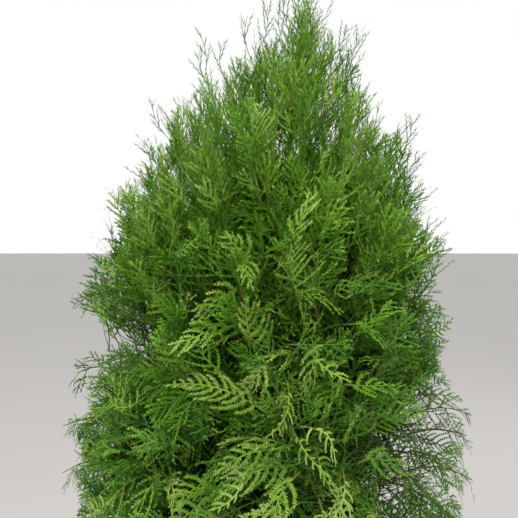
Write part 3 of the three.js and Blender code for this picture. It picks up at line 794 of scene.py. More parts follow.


# Leading shoots: thin stems that climb close under the skin, with sprays to both sides by turns. The ones
# nearest the eye are listed one by one: across and height of the foot, across and height of the tip. So are
# the
# open ones that stand out at the sides: across, depth and height of the foot, then of the tip.
leading = dict(
    count=46, heights=(0.50, 1.42), thin=((0.3, 1), (1.6, 1)), length=(0.12, 0.19), up=0.5, out=0.35,
    aside=0.5, inset=(0.028, 0.048), under=0.040, footInset=0.045, bendAt=0.55, bendOut=0.1, light=(1.8, 2.8),
    seed=606, joinFrom=0.3, joinSteps=8,
    front=np.array([
        (0.033, 0.929, -0.006, 1.062), (-0.017, 1.070, -0.048, 1.165), (0.030, 1.102, 0.026, 1.270),
        (0.051, 1.165, 0.080, 1.250), (-0.082, 1.030, -0.200, 1.042), (0.120, 0.960, 0.150, 1.080),
        (-0.020, 1.255, -0.030, 1.350), (0.150, 1.120, 0.170, 1.230), (0.012, 1.195, -0.018, 1.325),
    ]),
    frontInset=(0.040, 0.022), frontLight=2.2, bulge=0.010,
    beside=np.array([
        (0.180, -0.05, 0.905, 0.290, -0.07, 0.938), (0.185, -0.03, 0.875, 0.306, -0.05, 0.892),
        (0.180, -0.07, 0.850, 0.296, -0.10, 0.845), (0.185, 0.00, 0.835, 0.306, -0.01, 0.815),
        (0.175, -0.08, 0.815, 0.280, -0.12, 0.785), (0.170, -0.02, 0.800, 0.252, -0.03, 0.772),
        (0.170, -0.10, 0.900, 0.252, -0.15, 0.880), (0.180, 0.05, 0.880, 0.280, 0.08, 0.880),
        (0.170, -0.11, 0.845, 0.250, -0.16, 0.815), (0.160, 0.02, 0.770, 0.232, 0.02, 0.748),
        (-0.190, -0.07, 0.985, -0.278, -0.10, 1.005), (-0.195, -0.06, 0.905, -0.312, -0.07, 0.915),
        (-0.195, -0.05, 0.850, -0.318, -0.06, 0.838), (-0.170, -0.09, 1.085, -0.262, -0.11, 1.118),
    ]),
    besideDroop=0.030, besideOut=(0, -1.0, 0.35), besideStray=0.25, besideLight=2.0,
)
# the sprays of a leading shoot: how many, from where on, the angle and length of the first and the last, and
# how much slimmer the whole is by height
leadingHabit = dict(
    number=11, first=0.10, last=0.99, back=0.01, angle=(60, 20), angleJitter=0.12, outward=0.40, faceUp=0.25,
    faceJitter=0.7, length=(0.074, 0.044), besideLength=(0.046, 0.032), lengthJitter=(0.8, 1.15),
    slim=((1.05, 1), (1.20, 0.72)), lightJitter=0.4,
)


# the turn at which the outline stands before the eye at a place across
def turnOf(across, z):
    reach = np.hypot(across, np.sqrt(np.maximum(crownRadius(z) ** 2 - across ** 2, 0)))
    return -np.arccos(np.clip(across / reach, -1, 1))


def shootsUnderSkin(rng):
    z, turn = skinPoints(leading, rng)
    tip, out, aside = skinPlace(turn, z, rng.uniform(*leading["inset"], len(z)))
    up = atHeight(habit["up"], z) + leading["up"]
    sideways = rng.normal(0, leading["aside"], len(z))
    way = unit(out * leading["out"] + above * up[:, None] + aside * sideways[:, None])
    length = rng.uniform(*leading["length"], len(z))[:, None]
    tip = tip - way * leading["under"]
    foot = tip - way * length - out * leading["footInset"]
    bend = tip - way * length * leading["bendAt"] + out * leading["footInset"] * leading["bendOut"]
    return foot, bend, tip, out


def shootsInFront(rng):
    footAcross, footHeight, tipAcross, tipHeight = leading["front"].T
    foot, _, _ = skinPlace(turnOf(footAcross, footHeight), footHeight, leading["frontInset"][0])
    tip, out, _ = skinPlace(turnOf(tipAcross, tipHeight), tipHeight, leading["frontInset"][1])
    sway = np.cross(out, above) * rng.normal(0, leading["bulge"], (len(foot), 1))
    return foot, mix(foot, tip, 0.5) + out * leading["bulge"] + sway, tip, out


def shootsBeside(rng):
    foot, tip = leading["beside"][:, :3], leading["beside"][:, 3:]
    out = unit(np.array(leading["besideOut"]) + rng.normal(0, leading["besideStray"], foot.shape))
    return foot, mix(foot, tip, 0.5) + above * leading["besideDroop"], tip, out


def planLeading():
    rng = np.random.default_rng(leading["seed"])
    groups = [shootsUnderSkin(rng), shootsInFront(rng), shootsBeside(rng)]
    start, bend, end, out = (np.concatenate(parts) for parts in zip(*groups))
    counts = [len(group[0]) for group in groups]
    light = np.repeat([0.0, leading["frontLight"], leading["besideLight"]], counts)
    light[:counts[0]] = rng.uniform(*leading["light"], counts[0])
    beside = np.repeat([False, False, True], counts)
    return dict(start=start, bend=bend, end=end, out=out, light=light, beside=beside)


# a leading shoot is one more twig, which starts from the nearest twig's path
def joinLeading(shoots):
    share = np.linspace(leading["joinFrom"], 1, leading["joinSteps"])
    along = bezier(twigs["start"], twigs["bend"], twigs["end"], share).reshape(-1, 3)
    distance = np.linalg.norm(shoots["start"][:, None] - along[None], axis=-1)
    nearest = distance.argmin(1)
    print("  leading shoots start", round(float(distance.min(1).max()), 3), "from their twigs at most")
    shoots["start"] = along[nearest]
    owner = nearest // len(share)
    own = dict(
        start=shoots["start"], bend=shoots["bend"], end=shoots["end"], face=shoots["out"],
        share=twigs["share"][owner], tier=twigs["tier"][owner],
    )
    return {key: np.concatenate([twigs[key], own[key]]) for key in twigs}


shoots = planLeading()
twigs = joinLeading(shoots)


# what every list of sprays holds, from the few things that set them apart
def spraysFrom(rng, origin, direction, face, length, kind, light, kinds):
    count = len(length)
    z = origin[:, 2]
    usual = np.array([sprayLooks[name]["length"] for name in kinds])[kind]
    nearest = np.abs(length[:, None] / usual[:, None] - shapeLengths).argmin(1)
    # tone: each spray's own light, partly painted light and shade, with the painted light by height added
    tone = np.clip(light + atHeight(habit["light"], z), 0, atHeight(habit["lightest"], z))
    return dict(
        origin=origin, direction=direction, face=unit(face - direction * dot(face, direction)), length=length,
        look=np.array([lookNames.index(name) for name in kinds])[kind],
        tone=np.round(tone).astype(int),
        sag=atHeight(habit["sag"], z) * rng.uniform(*habit["sagRange"], count),
        bend=rng.normal(*habit["bend"], count),
        mirror=rng.choice([-1.0, 1.0], count),
        variant=nearest * len(openness) + rng.integers(0, len(openness), count),
        twist=rng.normal(0, habit["twist"], count),
    )


# 0 for the kinds that grow low down, 1 for those midway and 2 for those high up
def kindAt(z, rng):
    dice = z + rng.normal(0, habit["kindJitter"], len(z))
    return np.select([dice > habit["featherFrom"], dice > habit["plumeletFrom"]], [2, 1], 0)


def leadingSprays():
    own = leadingHabit
    rng = np.random.default_rng(leading["seed"] + 1)
    number, count = own["number"], len(shoots["end"])
    k = np.arange(number)
    share = own["first"] + (1 - own["first"]) * (k + 0.5) / number
    share[-1] = own["last"]
    path = shoots["start"], shoots["bend"], shoots["end"]
    origin = bezier(*path, share).reshape(-1, 3)
    stem = unit(origin - bezier(*path, share - own["back"]).reshape(-1, 3))
    out = np.repeat(shoots["out"], number, 0)
    face = out + rng.normal(0, own["faceJitter"], out.shape) + above * own["faceUp"]
    face = unit(face - stem * dot(face, stem))
    across = np.cross(face, stem)
    side = np.tile(np.where(k % 2 == 0, 1.0, -1.0), count) * np.repeat(rng.choice([-1, 1], count), number)
    slim = atHeight(own["slim"], origin[:, 2])
    share = np.tile(share, count)
    angle = np.radians(mix(*own["angle"], share)) * rng.normal(1, own["angleJitter"], len(out)) * slim
    angle[number - 1::number] = 0
    direction = stem * np.cos(angle)[:, None] + across * (side * np.sin(angle))[:, None]
    direction = direction + out * own["outward"]
    beside = np.repeat(shoots["beside"], number)
    length = np.where(beside, mix(*own["besideLength"], share), mix(*own["length"], share))
    length = length * rng.uniform(*own["lengthJitter"], len(out)) * slim
    kinds = ("fan", "plumelet", "feather", "lace")
    kind = np.where(beside, kinds.index("lace"), kindAt(origin[:, 2], rng))
    light = np.repeat(shoots["light"], number) + rng.normal(0, own["lightJitter"], len(out))
    return spraysFrom(rng, origin, unit(direction), face, length, kind, light, kinds)


# Single fronds nearest the eye: across and height of foot and tip, inset of both, light, sag, how far each is
# turned edge-on, and 1 for a comb
fronds = np.array([
    (-0.008, 1.006, -0.122, 1.052, 0.020, -0.018, 4.5, 0.15, 0, 0),
    (0.004, 1.054, -0.034, 1.026, 0.020, -0.014, 4.5, 0.05, 0, 0),
    (-0.010, 1.036, -0.050, 1.046, 0.020, -0.014, 4.5, 0.15, 0.1, 0),
    (0.014, 1.034, 0.016, 0.990, 0.016, -0.010, 3.6, 0.05, 0.5, 0),
    (-0.081, 0.912, -0.128, 0.896, 0.016, -0.006, 3.0, 0.20, 0, 0),
    (-0.076, 0.935, -0.120, 0.924, 0.016, -0.006, 2.8, 0.20, 0.2, 0),
    (-0.062, 0.895, -0.100, 0.878, 0.016, -0.006, 3.2, 0.20, 0, 0),
    (0.078, 0.938, 0.040, 0.905, 0.016, -0.014, 5.0, 0.10, 0, 1),
    (0.095, 0.916, 0.086, 0.868, 0.016, -0.014, 5.0, 0.10, 0, 1),
    (0.045, 1.088, 0.030, 1.042, 0.016, -0.010, 4.0, 0.20, 0.1, 0),
    (0.030, 0.995, 0.062, 0.965, 0.016, -0.014, 4.8, 0.10, 0, 1),
    (0.030, 0.945, 0.002, 0.900, 0.016, -0.014, 4.4, 0.15, 0, 0),
    (0.085, 0.918, 0.062, 0.876, 0.016, -0.014, 5.0, 0.15, 0, 1),
    (0.018, 1.038, -0.014, 1.000, 0.020, -0.008, 4.4, 0.20, 0.1, 1),
    (0.008, 0.986, -0.082, 1.004, 0.030, -0.010, 3.4, 0.35, 0.8, 1),
    (0.020, 0.962, -0.063, 0.956, 0.030, -0.010, 4.0, 0.20, 0.1, 0),
    (0.027, 0.948, -0.059, 0.932, 0.026, -0.014, 4.4, 0.20, 0, 0),
    (0.031, 0.912, -0.026, 0.922, 0.020, -0.014, 4.6, 0.20, 0.1, 0),
    (0.014, 0.892, -0.034, 0.902, 0.020, -0.016, 5.0, 0.20, 0, 1),
    (-0.030, 0.945, -0.072, 0.928, 0.020, -0.010, 4.8, 0.30, 0, 1),
    (0.022, 0.989, 0.070, 0.975, 0.030, -0.012, 4.6, 0.60, 0.1, 1),
    (0.050, 0.968, 0.088, 0.932, 0.028, -0.010, 4.6, 0.40, 0.1, 1),
    (0.082, 0.945, 0.048, 0.888, 0.020, -0.014, 5.0, 0.05, 0, 1),
    (0.088, 0.925, 0.090, 0.870, 0.016, -0.014, 5.0, 0.05, 0, 1),
    (0.052, 0.915, 0.030, 0.870, 0.016, -0.014, 5.0, 0.10, 0, 1),
    (0.060, 0.985, 0.052, 1.030, 0.030, -0.002, 3.6, -0.10, 0.4, 1),
    (-0.012, 1.062, -0.026, 1.135, 0.026, -0.008, 3.6, 0.00, 0, 0),
    (-0.065, 1.104, -0.112, 1.096, 0.030, -0.010, 4.4, 0.12, 0, 0),
    (-0.046, 1.090, -0.098, 1.100, 0.030, -0.006, 3.8, 0.20, 0.3, 1),
    (0.060, 1.100, 0.018, 1.088, 0.030, -0.006, 3.6, 0.45, 0.3, 1),
    (0.040, 1.078, 0.086, 1.072, 0.030, -0.006, 4.0, 0.45, 0.3, 1),
    (0.030, 1.140, 0.076, 1.148, 0.030, -0.004, 2.3, 0.35, 0.5, 0),
    (0.095, 1.100, 0.142, 1.090, 0.030, -0.004, 3.1, 0.45, 0.4, 0),
    (0.092, 1.030, 0.140, 1.054, 0.030, -0.004, 3.2, 0.30, 0.5, 0),
    (-0.003, 1.176, -0.060, 1.202, 0.030, -0.004, 2.8, 0.10, 0.5, 0),
    (-0.040, 1.150, -0.085, 1.140, 0.030, -0.004, 3.2, 0.35, 0.3, 0),
    (0.110, 0.940, 0.170, 0.936, 0.030, -0.004, 3.0, 0.40, 0, 0),
    (0.040, 1.085, 0.026, 1.155, 0.008, -0.014, 3.5, 0.05, 0.8, 0),
    (0.027, 1.135, 0.020, 1.205, 0.008, -0.014, 3.9, 0.05, 0.75, 0),
    (0.020, 1.190, 0.026, 1.255, 0.008, -0.012, 3.4, 0.00, 0.75, 0),
    (-0.018, 1.175, -0.048, 1.222, 0.016, -0.010, 3.0, 0.20, 0, 0),
    (-0.030, 1.180, -0.020, 1.155, 0.016, -0.010, 3.0, 0.30, 0, 0),
    (-0.012, 1.300, -0.018, 1.370, 0.010, -0.008, 3.0, 0.00, 0.6, 0),
    (0.082, 0.960, 0.084, 1.020, 0.016, -0.004, 3.8, 0.00, 0.9, 0),
    (0.074, 1.010, 0.066, 1.065, 0.016, -0.004, 3.6, 0.00, 0.8, 0),
    (-0.060, 1.235, -0.054, 1.305, 0.016, -0.004, 3.0, 0.00, 0.8, 0),
    (0.085, 1.235, 0.092, 1.310, 0.016, -0.004, 3.0, 0.00, 0.8, 0),
])
# how they face: upwards, with a stray, and how far across when edge-on; and how much more they bend
frontHabit = dict(seed=707, faceUp=0.3, faceJitter=0.15, edgeOn=1.5, bend=-0.12)


def frontFronds():
    own = frontHabit
    rng = np.random.default_rng(own["seed"])
    footAcross, footHeight, tipAcross, tipHeight, footInset, tipInset, light, sag, edgeOn, comb = fronds.T
    foot, _, _ = skinPlace(turnOf(footAcross, footHeight), footHeight, footInset)
    tip, out, _ = skinPlace(turnOf(tipAcross, tipHeight), tipHeight, tipInset)
    length = np.linalg.norm(tip - foot, axis=1)
    direction = (tip - foot) / length[:, None]
    face = out + above * own["faceUp"] + rng.normal(0, own["faceJitter"], out.shape)
    face = mix(face, own["edgeOn"] * np.cross(out, direction), edgeOn[:, None])
    kind = comb.astype(int)
    made = spraysFrom(rng, foot, direction, face, length, kind, light, ("frond", "comb"))
    made["sag"] = sag
    # the fronds are of the close shapes, the combs of the open ones
    made["variant"] += kind - made["variant"] % len(openness)
    made["bend"] += own["bend"] * (1 - edgeOn)
    return made


# Sprays that stand out against the background: forked spires above, lacy fans beside. Across, depth and
# height of the foot, then of the tip.
standouts = dict(
    spire=np.array([
        (-0.098, -0.04, 1.450, -0.116, -0.04, 1.520), (-0.090, -0.05, 1.430, -0.106, -0.05, 1.490),
        (-0.070, -0.02, 1.450, -0.070, -0.03, 1.508), (-0.018, -0.03, 1.490, -0.006, -0.03, 1.556),
        (-0.028, -0.04, 1.475, -0.030, -0.05, 1.535), (0.128, -0.03, 1.440, 0.142, -0.04, 1.510),
        (0.120, -0.04, 1.425, 0.126, -0.05, 1.490), (-0.152, -0.04, 1.350, -0.180, -0.04, 1.412),
        (-0.146, -0.05, 1.345, -0.164, -0.06, 1.398), (-0.178, -0.06, 1.296, -0.204, -0.06, 1.350),
        (0.196, -0.04, 1.320, 0.216, -0.05, 1.388), (0.186, -0.05, 1.310, 0.200, -0.06, 1.372),
        (0.045, 0.00, 1.510, 0.026, -0.01, 1.592), (0.055, 0.01, 1.515, 0.058, 0.01, 1.604),
        (0.072, -0.01, 1.485, 0.100, -0.01, 1.568), (0.088, -0.02, 1.470, 0.118, -0.02, 1.545),
        (0.030, -0.05, 1.480, 0.012, -0.06, 1.545), (0.066, -0.04, 1.500, 0.080, -0.04, 1.580),
        (0.036, -0.03, 1.495, 0.040, -0.03, 1.575), (0.096, 0.00, 1.460, 0.130, 0.00, 1.530),
    ]),
    fan=np.array([
        (0.215, -0.06, 0.955, 0.292, -0.08, 0.962), (0.240, -0.02, 0.880, 0.325, -0.03, 0.868),
        (0.230, 0.02, 0.845, 0.316, 0.02, 0.826), (-0.215, -0.06, 0.930, -0.306, -0.06, 0.925),
        (-0.210, -0.06, 0.872, -0.318, -0.07, 0.862), (-0.190, -0.10, 1.110, -0.262, -0.10, 1.138),
        (-0.190, -0.08, 1.150, -0.268, -0.08, 1.180), (-0.165, -0.08, 1.210, -0.226, -0.07, 1.236),
        (-0.160, -0.08, 1.240, -0.222, -0.08, 1.262),
    ]),
    light=dict(spire=-0.5, fan=2.0), face=(0, -1.0, 0.4), jitter=0.25, seed=909,
)


def standoutSprays(name):
    rng = np.random.default_rng(standouts["seed"])
    rows = standouts[name]
    foot, tip = rows[:, :3], rows[:, 3:]
    length = np.linalg.norm(tip - foot, axis=1)
    face = np.array(standouts["face"]) + rng.normal(0, standouts["jitter"], foot.shape)
    kind = np.zeros(len(rows), int)
    light = np.full(len(rows), standouts["light"][name])
    return spraysFrom(rng, foot, (tip - foot) / length[:, None], face, length, kind, light, (name,))


# Bays, as seen from the eye: slope across and up, half their size in slopes, how far round to the back they
# reach, the share of the sprays that grow so much deeper there (least, most), and the share of those that
# don't grow. The first is the place at the side that is open against the light, the others are the dark gaps
# between the layers.
bays = np.array([
    (0.36, -0.43, 0.150, 0.160, 9.0, 0.95, 0.08, 0.12, 0.5),
    (-0.04, 0.03, 0.030, 0.045, 0, 0.90, 0.04, 0.07, 0.3),
    (0.08, -0.22, 0.040, 0.035, 0, 0.90, 0.04, 0.07, 0.3),
    (-0.04, -0.38, 0.065, 0.025, 0, 0.95, 0.04, 0.07, 0.4),
    (-0.10, -0.25, 0.080, 0.020, 0, 0.95, 0.04, 0.07, 0.4),
    (0.23, -0.37, 0.040, 0.040, 0, 0.90, 0.04, 0.07, 0.3),
    (-0.08, -0.10, 0.040, 0.025, 0, 0.90, 0.04, 0.07, 0.3),
    (0.18, -0.01, 0.045, 0.035, 0, 0.90, 0.04, 0.07, 0.3),
    (-0.24, -0.16, 0.050, 0.045, 0.15, 0.90, 0.03, 0.06, 0.3),
    (0.10, -0.43, 0.025, 0.025, 0, 0.90, 0.04, 0.07, 0.4),
    (0.18, -0.11, 0.050, 0.020, 0, 0.90, 0.03, 0.06, 0.3),
    (0.05, -0.51, 0.035, 0.025, 0, 0.90, 0.04, 0.07, 0.3),
])
# painted light and shade: lighter and darker patches in the same slopes, with their spread and how many tones
# lighter they are
paintedLightPatches = np.array([
    (0.22, -0.20, 0.085, 0.050, -1.2), (0.18, -0.11, 0.060, 0.040, -1.0), (0.14, -0.30, 0.050, 0.030, -1.2),
    (-0.18, -0.29, 0.050, 0.035, -1.0), (-0.20, -0.38, 0.055, 0.030, -1.0), (-0.15, -0.52, 0.060, 0.035, 1.4),
    (0.06, -0.31, 0.025, 0.045, 1.0), (0.29, -0.49, 0.050, 0.060, 1.0), (0.15, 0.08, 0.030, 0.075, -1.0),
    (-0.12, 0.10, 0.045, 0.040, -0.8), (-0.10, -0.25, 0.090, 0.025, -1.2), (-0.04, -0.38, 0.075, 0.025, -1.4),
    (0.18, -0.43, 0.060, 0.045, -0.8),
])
# Shells of sprays: how many, the heights they grow at and how dense there, how far their tips lie inside the
# outline, their length, their kinds low, midway and high up, how light they are, with the deeper shells
# darker as painted shade inside the crown, and how much of their direction is sideways and upwards against
# the common habit
thinTop = ((0.3, 1), (1.26, 1), (1.38, 0.62), (1.48, 0.50), (1.60, 0.45))
leafy = ("fan", "plumelet", "feather")
shells = [
    dict(count=2700, heights=(0.34, 1.594), inset=(0.004, 0.040), length=(0.045, 0.100), thin=thinTop,
         kinds=leafy, light=2.4, aside=0.65, lift=0.0, seed=101),
    dict(count=1300, heights=(0.34, 1.520), inset=(0.040, 0.078), length=(0.075, 0.110), thin=thinTop,
         kinds=leafy, light=1.4, aside=0.60, lift=0.0, seed=202),
    # the two innermost shells are painted shade: their low light deals them the darkest greens
    dict(count=720, heights=(0.36, 1.360), inset=(0.080, 0.135), length=(0.110, 0.140), thin=thinTop,
         kinds=("inner",) * 3, light=0.7, aside=0.50, lift=0.0, seed=303),
    dict(count=300, heights=(0.40, 1.340), inset=(0.140, 0.200), length=(0.110, 0.140), thin=thinTop,
         kinds=("inner",) * 3, light=0.0, aside=0.50, lift=0.0, seed=808),
    dict(count=90, heights=(0.45, 1.150), inset=(0.002, 0.014), length=(0.060, 0.100), thin=thinTop,
         kinds=("frond", "frond", "plumelet"), light=2.5, aside=0.85, lift=-0.40, seed=404),
    dict(count=260, heights=(0.45, 1.300), inset=(0.000, 0.016), length=(0.036, 0.068), thin=thinTop,
         kinds=("comb", "comb", "plumelet"), light=2.9, aside=0.85, lift=-0.25, seed=707),
    dict(count=420, heights=(1.200, 1.570), inset=(-0.012, 0.030), length=(0.055, 0.105),
         thin=((1, 1), (2, 1)), kinds=("spire",) * 3, light=1.1, aside=0.40, lift=0.6, seed=505),
]


# light and dark patches all round the crown: a few slow waves over turn and height
def patchiness(turn, z):
    return np.sin(3 * turn + 9 * z) * np.cos(7.5 * z - 2 * turn + 1.0) + 0.5 * np.sin(5 * turn - 17 * z + 2.0)


# the slopes across and up at which places are seen from the eye
def slopesTo(places):
    way = places - np.array(eye["place"])
    return way[:, 0] / way[:, 1], way[:, 2] / way[:, 1]


# painted light and shade: how much lighter the sprays are at their tips' places, on the half of the crown
# that faces the eye
def paintedPatchLight(tips):
    across, rise = slopesTo(tips)
    centreAcross, centreRise, width, height, change = paintedLightPatches.T[:, :, None]
    fall = ((across - centreAcross) / width) ** 2 + ((rise - centreRise) / height) ** 2
    return np.sum(change * np.exp(-fall), 0) * (tips[:, 1] < 0)


# moves the tips inside a bay deeper into the crown, and tells which of the sprays grow
def openBays(rng, tip, out):
    count = len(tip)
    grows = np.ones(count, bool)
    across, rise = slopesTo(tip)
    for x, height, half, halfHeight, back, share, least, most, bare in bays:
        inside = ((across - x) / half) ** 2 + ((rise - height) / halfHeight) ** 2 < 1
        inside &= (tip[:, 1] < back) & (rng.random(count) < share)
        grows &= ~(inside & (rng.random(count) < bare))
        tip = tip - out * (rng.uniform(least, most, count) * inside)[:, None]
    return tip, grows


# the sprays of one shell: the tip lies on the shell, and the spray reaches back from it into the crown
def shellSprays(shell):
    rng = np.random.default_rng(shell["seed"])
    count = shell["count"]
    z, turn = skinPoints(shell, rng)
    tip, out, aside = skinPlace(turn, z, rng.uniform(*shell["inset"], count))
    # painted light and shade of the patches where the tips are seen from the eye
    paintedPatchTone = paintedPatchLight(tip)
    tip, grows = openBays(rng, tip, out)
    up = atHeight(habit["up"], z) + shell["lift"] + rng.normal(0, habit["upJitter"], count)
    direction = out * rng.uniform(*habit["out"], count)[:, None] + above * up[:, None]
    sideways = rng.normal(0, shell["aside"], count) * atHeight(habit["sideways"], z)
    direction = unit(direction + aside * sideways[:, None])
    face = out + above * atHeight(habit["faceUp"], z)[:, None]
    face = face + rng.normal(0, habit["faceJitter"], (count, 3))
    edgeOn = rng.random(count) < atHeight(habit["edgeOn"], z)
    face = np.where(edgeOn[:, None], aside + rng.normal(0, habit["faceJitter"], (count, 3)), face)
    length = rng.uniform(*shell["length"], count)
    # a spray whose foot would cross the middle of the crown is shortened
    origin = tip - direction * length[:, None]
    crossing = np.sum((origin - crownCentre(origin[:, 2]))[:, :2] * out[:, :2], 1) < habit["middle"]
    length = np.where(crossing, length * habit["shortened"], length)
    origin = tip - direction * length[:, None]
    light = shell["light"] + rng.normal(0, habit["lightJitter"], count)
    # the tone takes the random patchiness and the painted light and shade of the patches
    light = light + habit["patch"] * patchiness(turn, z) + paintedPatchTone
    kind = kindAt(z, rng)
    rows = [column[grows] for column in (origin, direction, face, length, kind, light)]
    return spraysFrom(rng, *rows, shell["kinds"])


# Each spray is carried by a finer twig from the nearest twig that points its way and lies behind it
carrier = dict(samples=12, first=0.1, turnCost=0.04, behindCost=0.07, least=0.008, chunks=12, bendBack=0.45)


def carrySprays(borne):
    share = np.linspace(carrier["first"], 1, carrier["samples"])
    along = bezier(twigs["start"], twigs["bend"], twigs["end"], share)
    tangent = unit(np.gradient(along, axis=1)).reshape(-1, 3)
    along = along.reshape(-1, 3)
    tier = np.repeat(twigs["tier"], carrier["samples"])
    nearest = np.empty(len(borne["length"]), int)
    for rows in np.array_split(np.arange(len(nearest)), carrier["chunks"]):
        way = borne["origin"][rows][:, None] - along[None]
        distance = np.linalg.norm(way, axis=-1)
        span = np.maximum(distance, carrier["least"])
        turned = 1 - np.sum(way * tangent[None], -1) / span
        behind = 1 - np.sum(way * borne["direction"][rows][:, None], -1) / span
        cost = distance + carrier["turnCost"] * turned + carrier["behindCost"] * behind
        nearest[rows] = np.argmin(cost, axis=1)
    borne["tier"] = tier[nearest]
    borne["from"] = along[nearest]
    gap = np.linalg.norm(borne["origin"] - borne["from"], axis=1)
    borne["via"] = borne["origin"] - borne["direction"] * gap[:, None] * carrier["bendBack"]
    print("  longest carrying twig", round(float(gap.max()), 3), "mean", round(float(gap.mean()), 3))
    return borne


def growSprays():
    grown = [shellSprays(shell) for shell in shells]
    grown += [leadingSprays(), frontFronds(), standoutSprays("spire"), standoutSprays("fan")]
    return carrySprays({key: np.concatenate([group[key] for group in grown]) for key in grown[0]})


borne = growSprays()
print("sprays:", len(borne["length"]))


# Every copy of one spray shape: turned about its rib and bent towards its face as it goes, and sagging with
# distance. Its width goes only part of the way with its length.
shaping = dict(widest=1.15, widthShare=0.5)


def placeSprays(shape, rows):
    x, y, z = (shape["points"][:, axis][None, :, None] for axis in range(3))
    origin, ahead, face = (borne[key][rows][:, None] for key in ("origin", "direction", "face"))
    mirror, length, twist, bend, sag = (
        borne[key][rows][:, None, None] for key in ("mirror", "length", "twist", "bend", "sag")
    )
    across = np.cross(face, ahead) * mirror
    width = np.minimum(length * shaping["widest"], mix(shape["length"], length, shaping["widthShare"]))
    turn = twist * x
    y, z = y * np.cos(turn) - z * np.sin(turn), y * np.sin(turn) + z * np.cos(turn)
    points = origin + ahead * (x * length) + across * (y * width) + face * (z * width)
    points = points + face * (bend * length * x ** 2)
    points[..., 2] -= (sag * length * x ** 2)[..., 0]
    # what passes the crown's furthest reach is drawn in
    reach = np.hypot(points[..., 0], points[..., 1])
    drawn = np.minimum(reach, habit["reach"] + (reach - habit["reach"]) * habit["beyond"])
    points[..., :2] *= (drawn / reach)[..., None]
    return points


# the faces of one kind in a spray shape: the points that they use, and their triangles among those
def facesOf(shape, kind):
    used, local = np.unique(shape["triangles"][shape["kind"] == kind], return_inverse=True)
    return used, local.reshape(-1, 3)


# the sprays of each tier and green as a list of points and triangles; the bare stalks have green -1
def joinSprays():
    buckets = {}
    for look, variant, tier in np.ndindex(len(sprays), len(sprays[0]), len(tiers)):
        rows = (borne["look"] == look) & (borne["variant"] == variant) & (borne["tier"] == tier)
        rows = np.flatnonzero(rows)
        shape = sprays[look][variant]
        points = placeSprays(shape, rows)
        for kind in range(3):
            used, faces = facesOf(shape, kind)
            tones = np.minimum(borne["tone"][rows] + (kind == 2), len(greens) - 1) if kind else -1 + 0 * rows
            for t in np.unique(tones) if len(used) else ():
                made = copies(points[tones == t][:, used], faces)
                buckets.setdefault((tier, int(t)), []).append(made)
    return buckets


def growFoliage():
    total = 0
    for (tier, t), parts in sorted(joinSprays().items()):
        points, triangles = joined(parts)
        total += len(triangles)
        name = tierNames[tier]
        if t < 0:
            piece = makePiece("stalks_" + name, points, triangles, [stalkSkin])
            declare(piece, massesOf(name))
        else:
            piece = makePiece(f"foliage_{name}_{greens[t][0]}", points, triangles, [leafMaterials[tier][t]])
            declare(piece, massesOf(name))
        print(" ", piece.name, len(triangles))
    print("foliage:", total, "triangles")


growFoliage()


# The stems of the plumes, their twigs and the finer twigs that carry the sprays
twigLook = dict(
    stemSides=8, stemStations=14, stemTip=0.0012, carryOn=0.4, sides=5, stations=8, radius=(0.0013, 0.0006),
    fineSides=3, fineStations=5, fineRadius=(0.0007, 0.0006), fineInto=0.004,
)


# the radius at each station and side of tubes that all taper alike
def tapering(count, radius, stations, sides):
    return np.broadcast_to(mix(*radius, np.linspace(0, 1, stations))[None, :, None], (count, stations, sides))


def growStems():
    look = twigLook
    t = np.linspace(0, 1, look["stemStations"])
    tip = plumes["end"] + plumes["direction"] * plume["tipReach"] * look["carryOn"]
    centres = mix(plumes["start"][:, None], tip[:, None], t[None, :, None])
    girth = plumes["thick"] * bough["tipShare"]
    radii = mix(girth[:, None], look["stemTip"], t[None])[..., None] * np.ones(look["stemSides"])
    u = np.linspace(0, 1, look["stations"])
    twigCentres = bezier(twigs["start"], twigs["bend"], twigs["end"], u)
    twigRadii = tapering(len(twigs["tier"]), look["radius"], look["stations"], look["sides"])
    twigSide = unit(np.cross(unit(twigs["end"] - twigs["start"]), twigs["face"]))
    u = np.linspace(0, 1, look["fineStations"])
    fineEnd = borne["origin"] + borne["direction"] * look["fineInto"]
    fineCentres = bezier(borne["from"], borne["via"], fineEnd, u)
    fineRadii = tapering(len(borne["tier"]), look["fineRadius"], look["fineStations"], look["fineSides"])
    fineSide = np.cross(borne["direction"], borne["face"])
    for tier, name in enumerate(tierNames):
        stems, coarse, fine = plumes["tier"] == tier, twigs["tier"] == tier, borne["tier"] == tier
        points, triangles = joined([
            tubes(centres[stems], radii[stems], plumes["side"][stems]),
            tubes(twigCentres[coarse], twigRadii[coarse], twigSide[coarse]),
        ])
        piece = makePiece("twigs_" + name, points, triangles, [twigBark], smooth=True)
        declare(piece, massesOf(name))
        points, triangles = tubes(fineCentres[fine], fineRadii[fine], fineSide[fine])
        declare(makePiece("fine_twigs_" + name, points, triangles, [fineBark]), massesOf(name))


growStems()
print("stems and twigs grown")


# Pot: rounded foot, tapering wall with two grooves, band with a bead and fine upright flutes, thick rim
pot = dict(
    height=0.300, baseRadius=0.128, chamfer=0.0042, footRounding=0.9, wall=0.003, floor=0.004, edge=0.0012,
    shoulderRadius=0.155, shoulderHeight=0.250, bandRadius=0.162, bandRise=0.005, bandTaper=0.0015,
    rimRadius=0.170, rimHeight=0.012, rimRise=0.001, columns=192, turnSteps=4, cornerShare=0.45,
    grooves=(0.070, 0.215), grooveHalf=0.0016, grooveDepth=0.0007, stepEnds=(0.6, 1.6),
    bead=0.268, beadHalf=0.0024, beadHeight=0.0009, beadTaper=0.4,
    flutes=96, fluteDepth=0.00035, fluted=(0.258, 0.284),
)
# drain holes through the foot of the wall: how many, their radius and height, and the panel round each
drain = dict(count=6, radius=0.0087, height=0.0135, panel=(0.0044, 0.0260), rows=6, halfColumns=4)


# half width of the wall's outside at a height, straight from foot to shoulder
def wallRadius(z):
    return np.interp(z, (pot["chamfer"], pot["shoulderHeight"]), (pot["baseRadius"], pot["shoulderRadius"]))


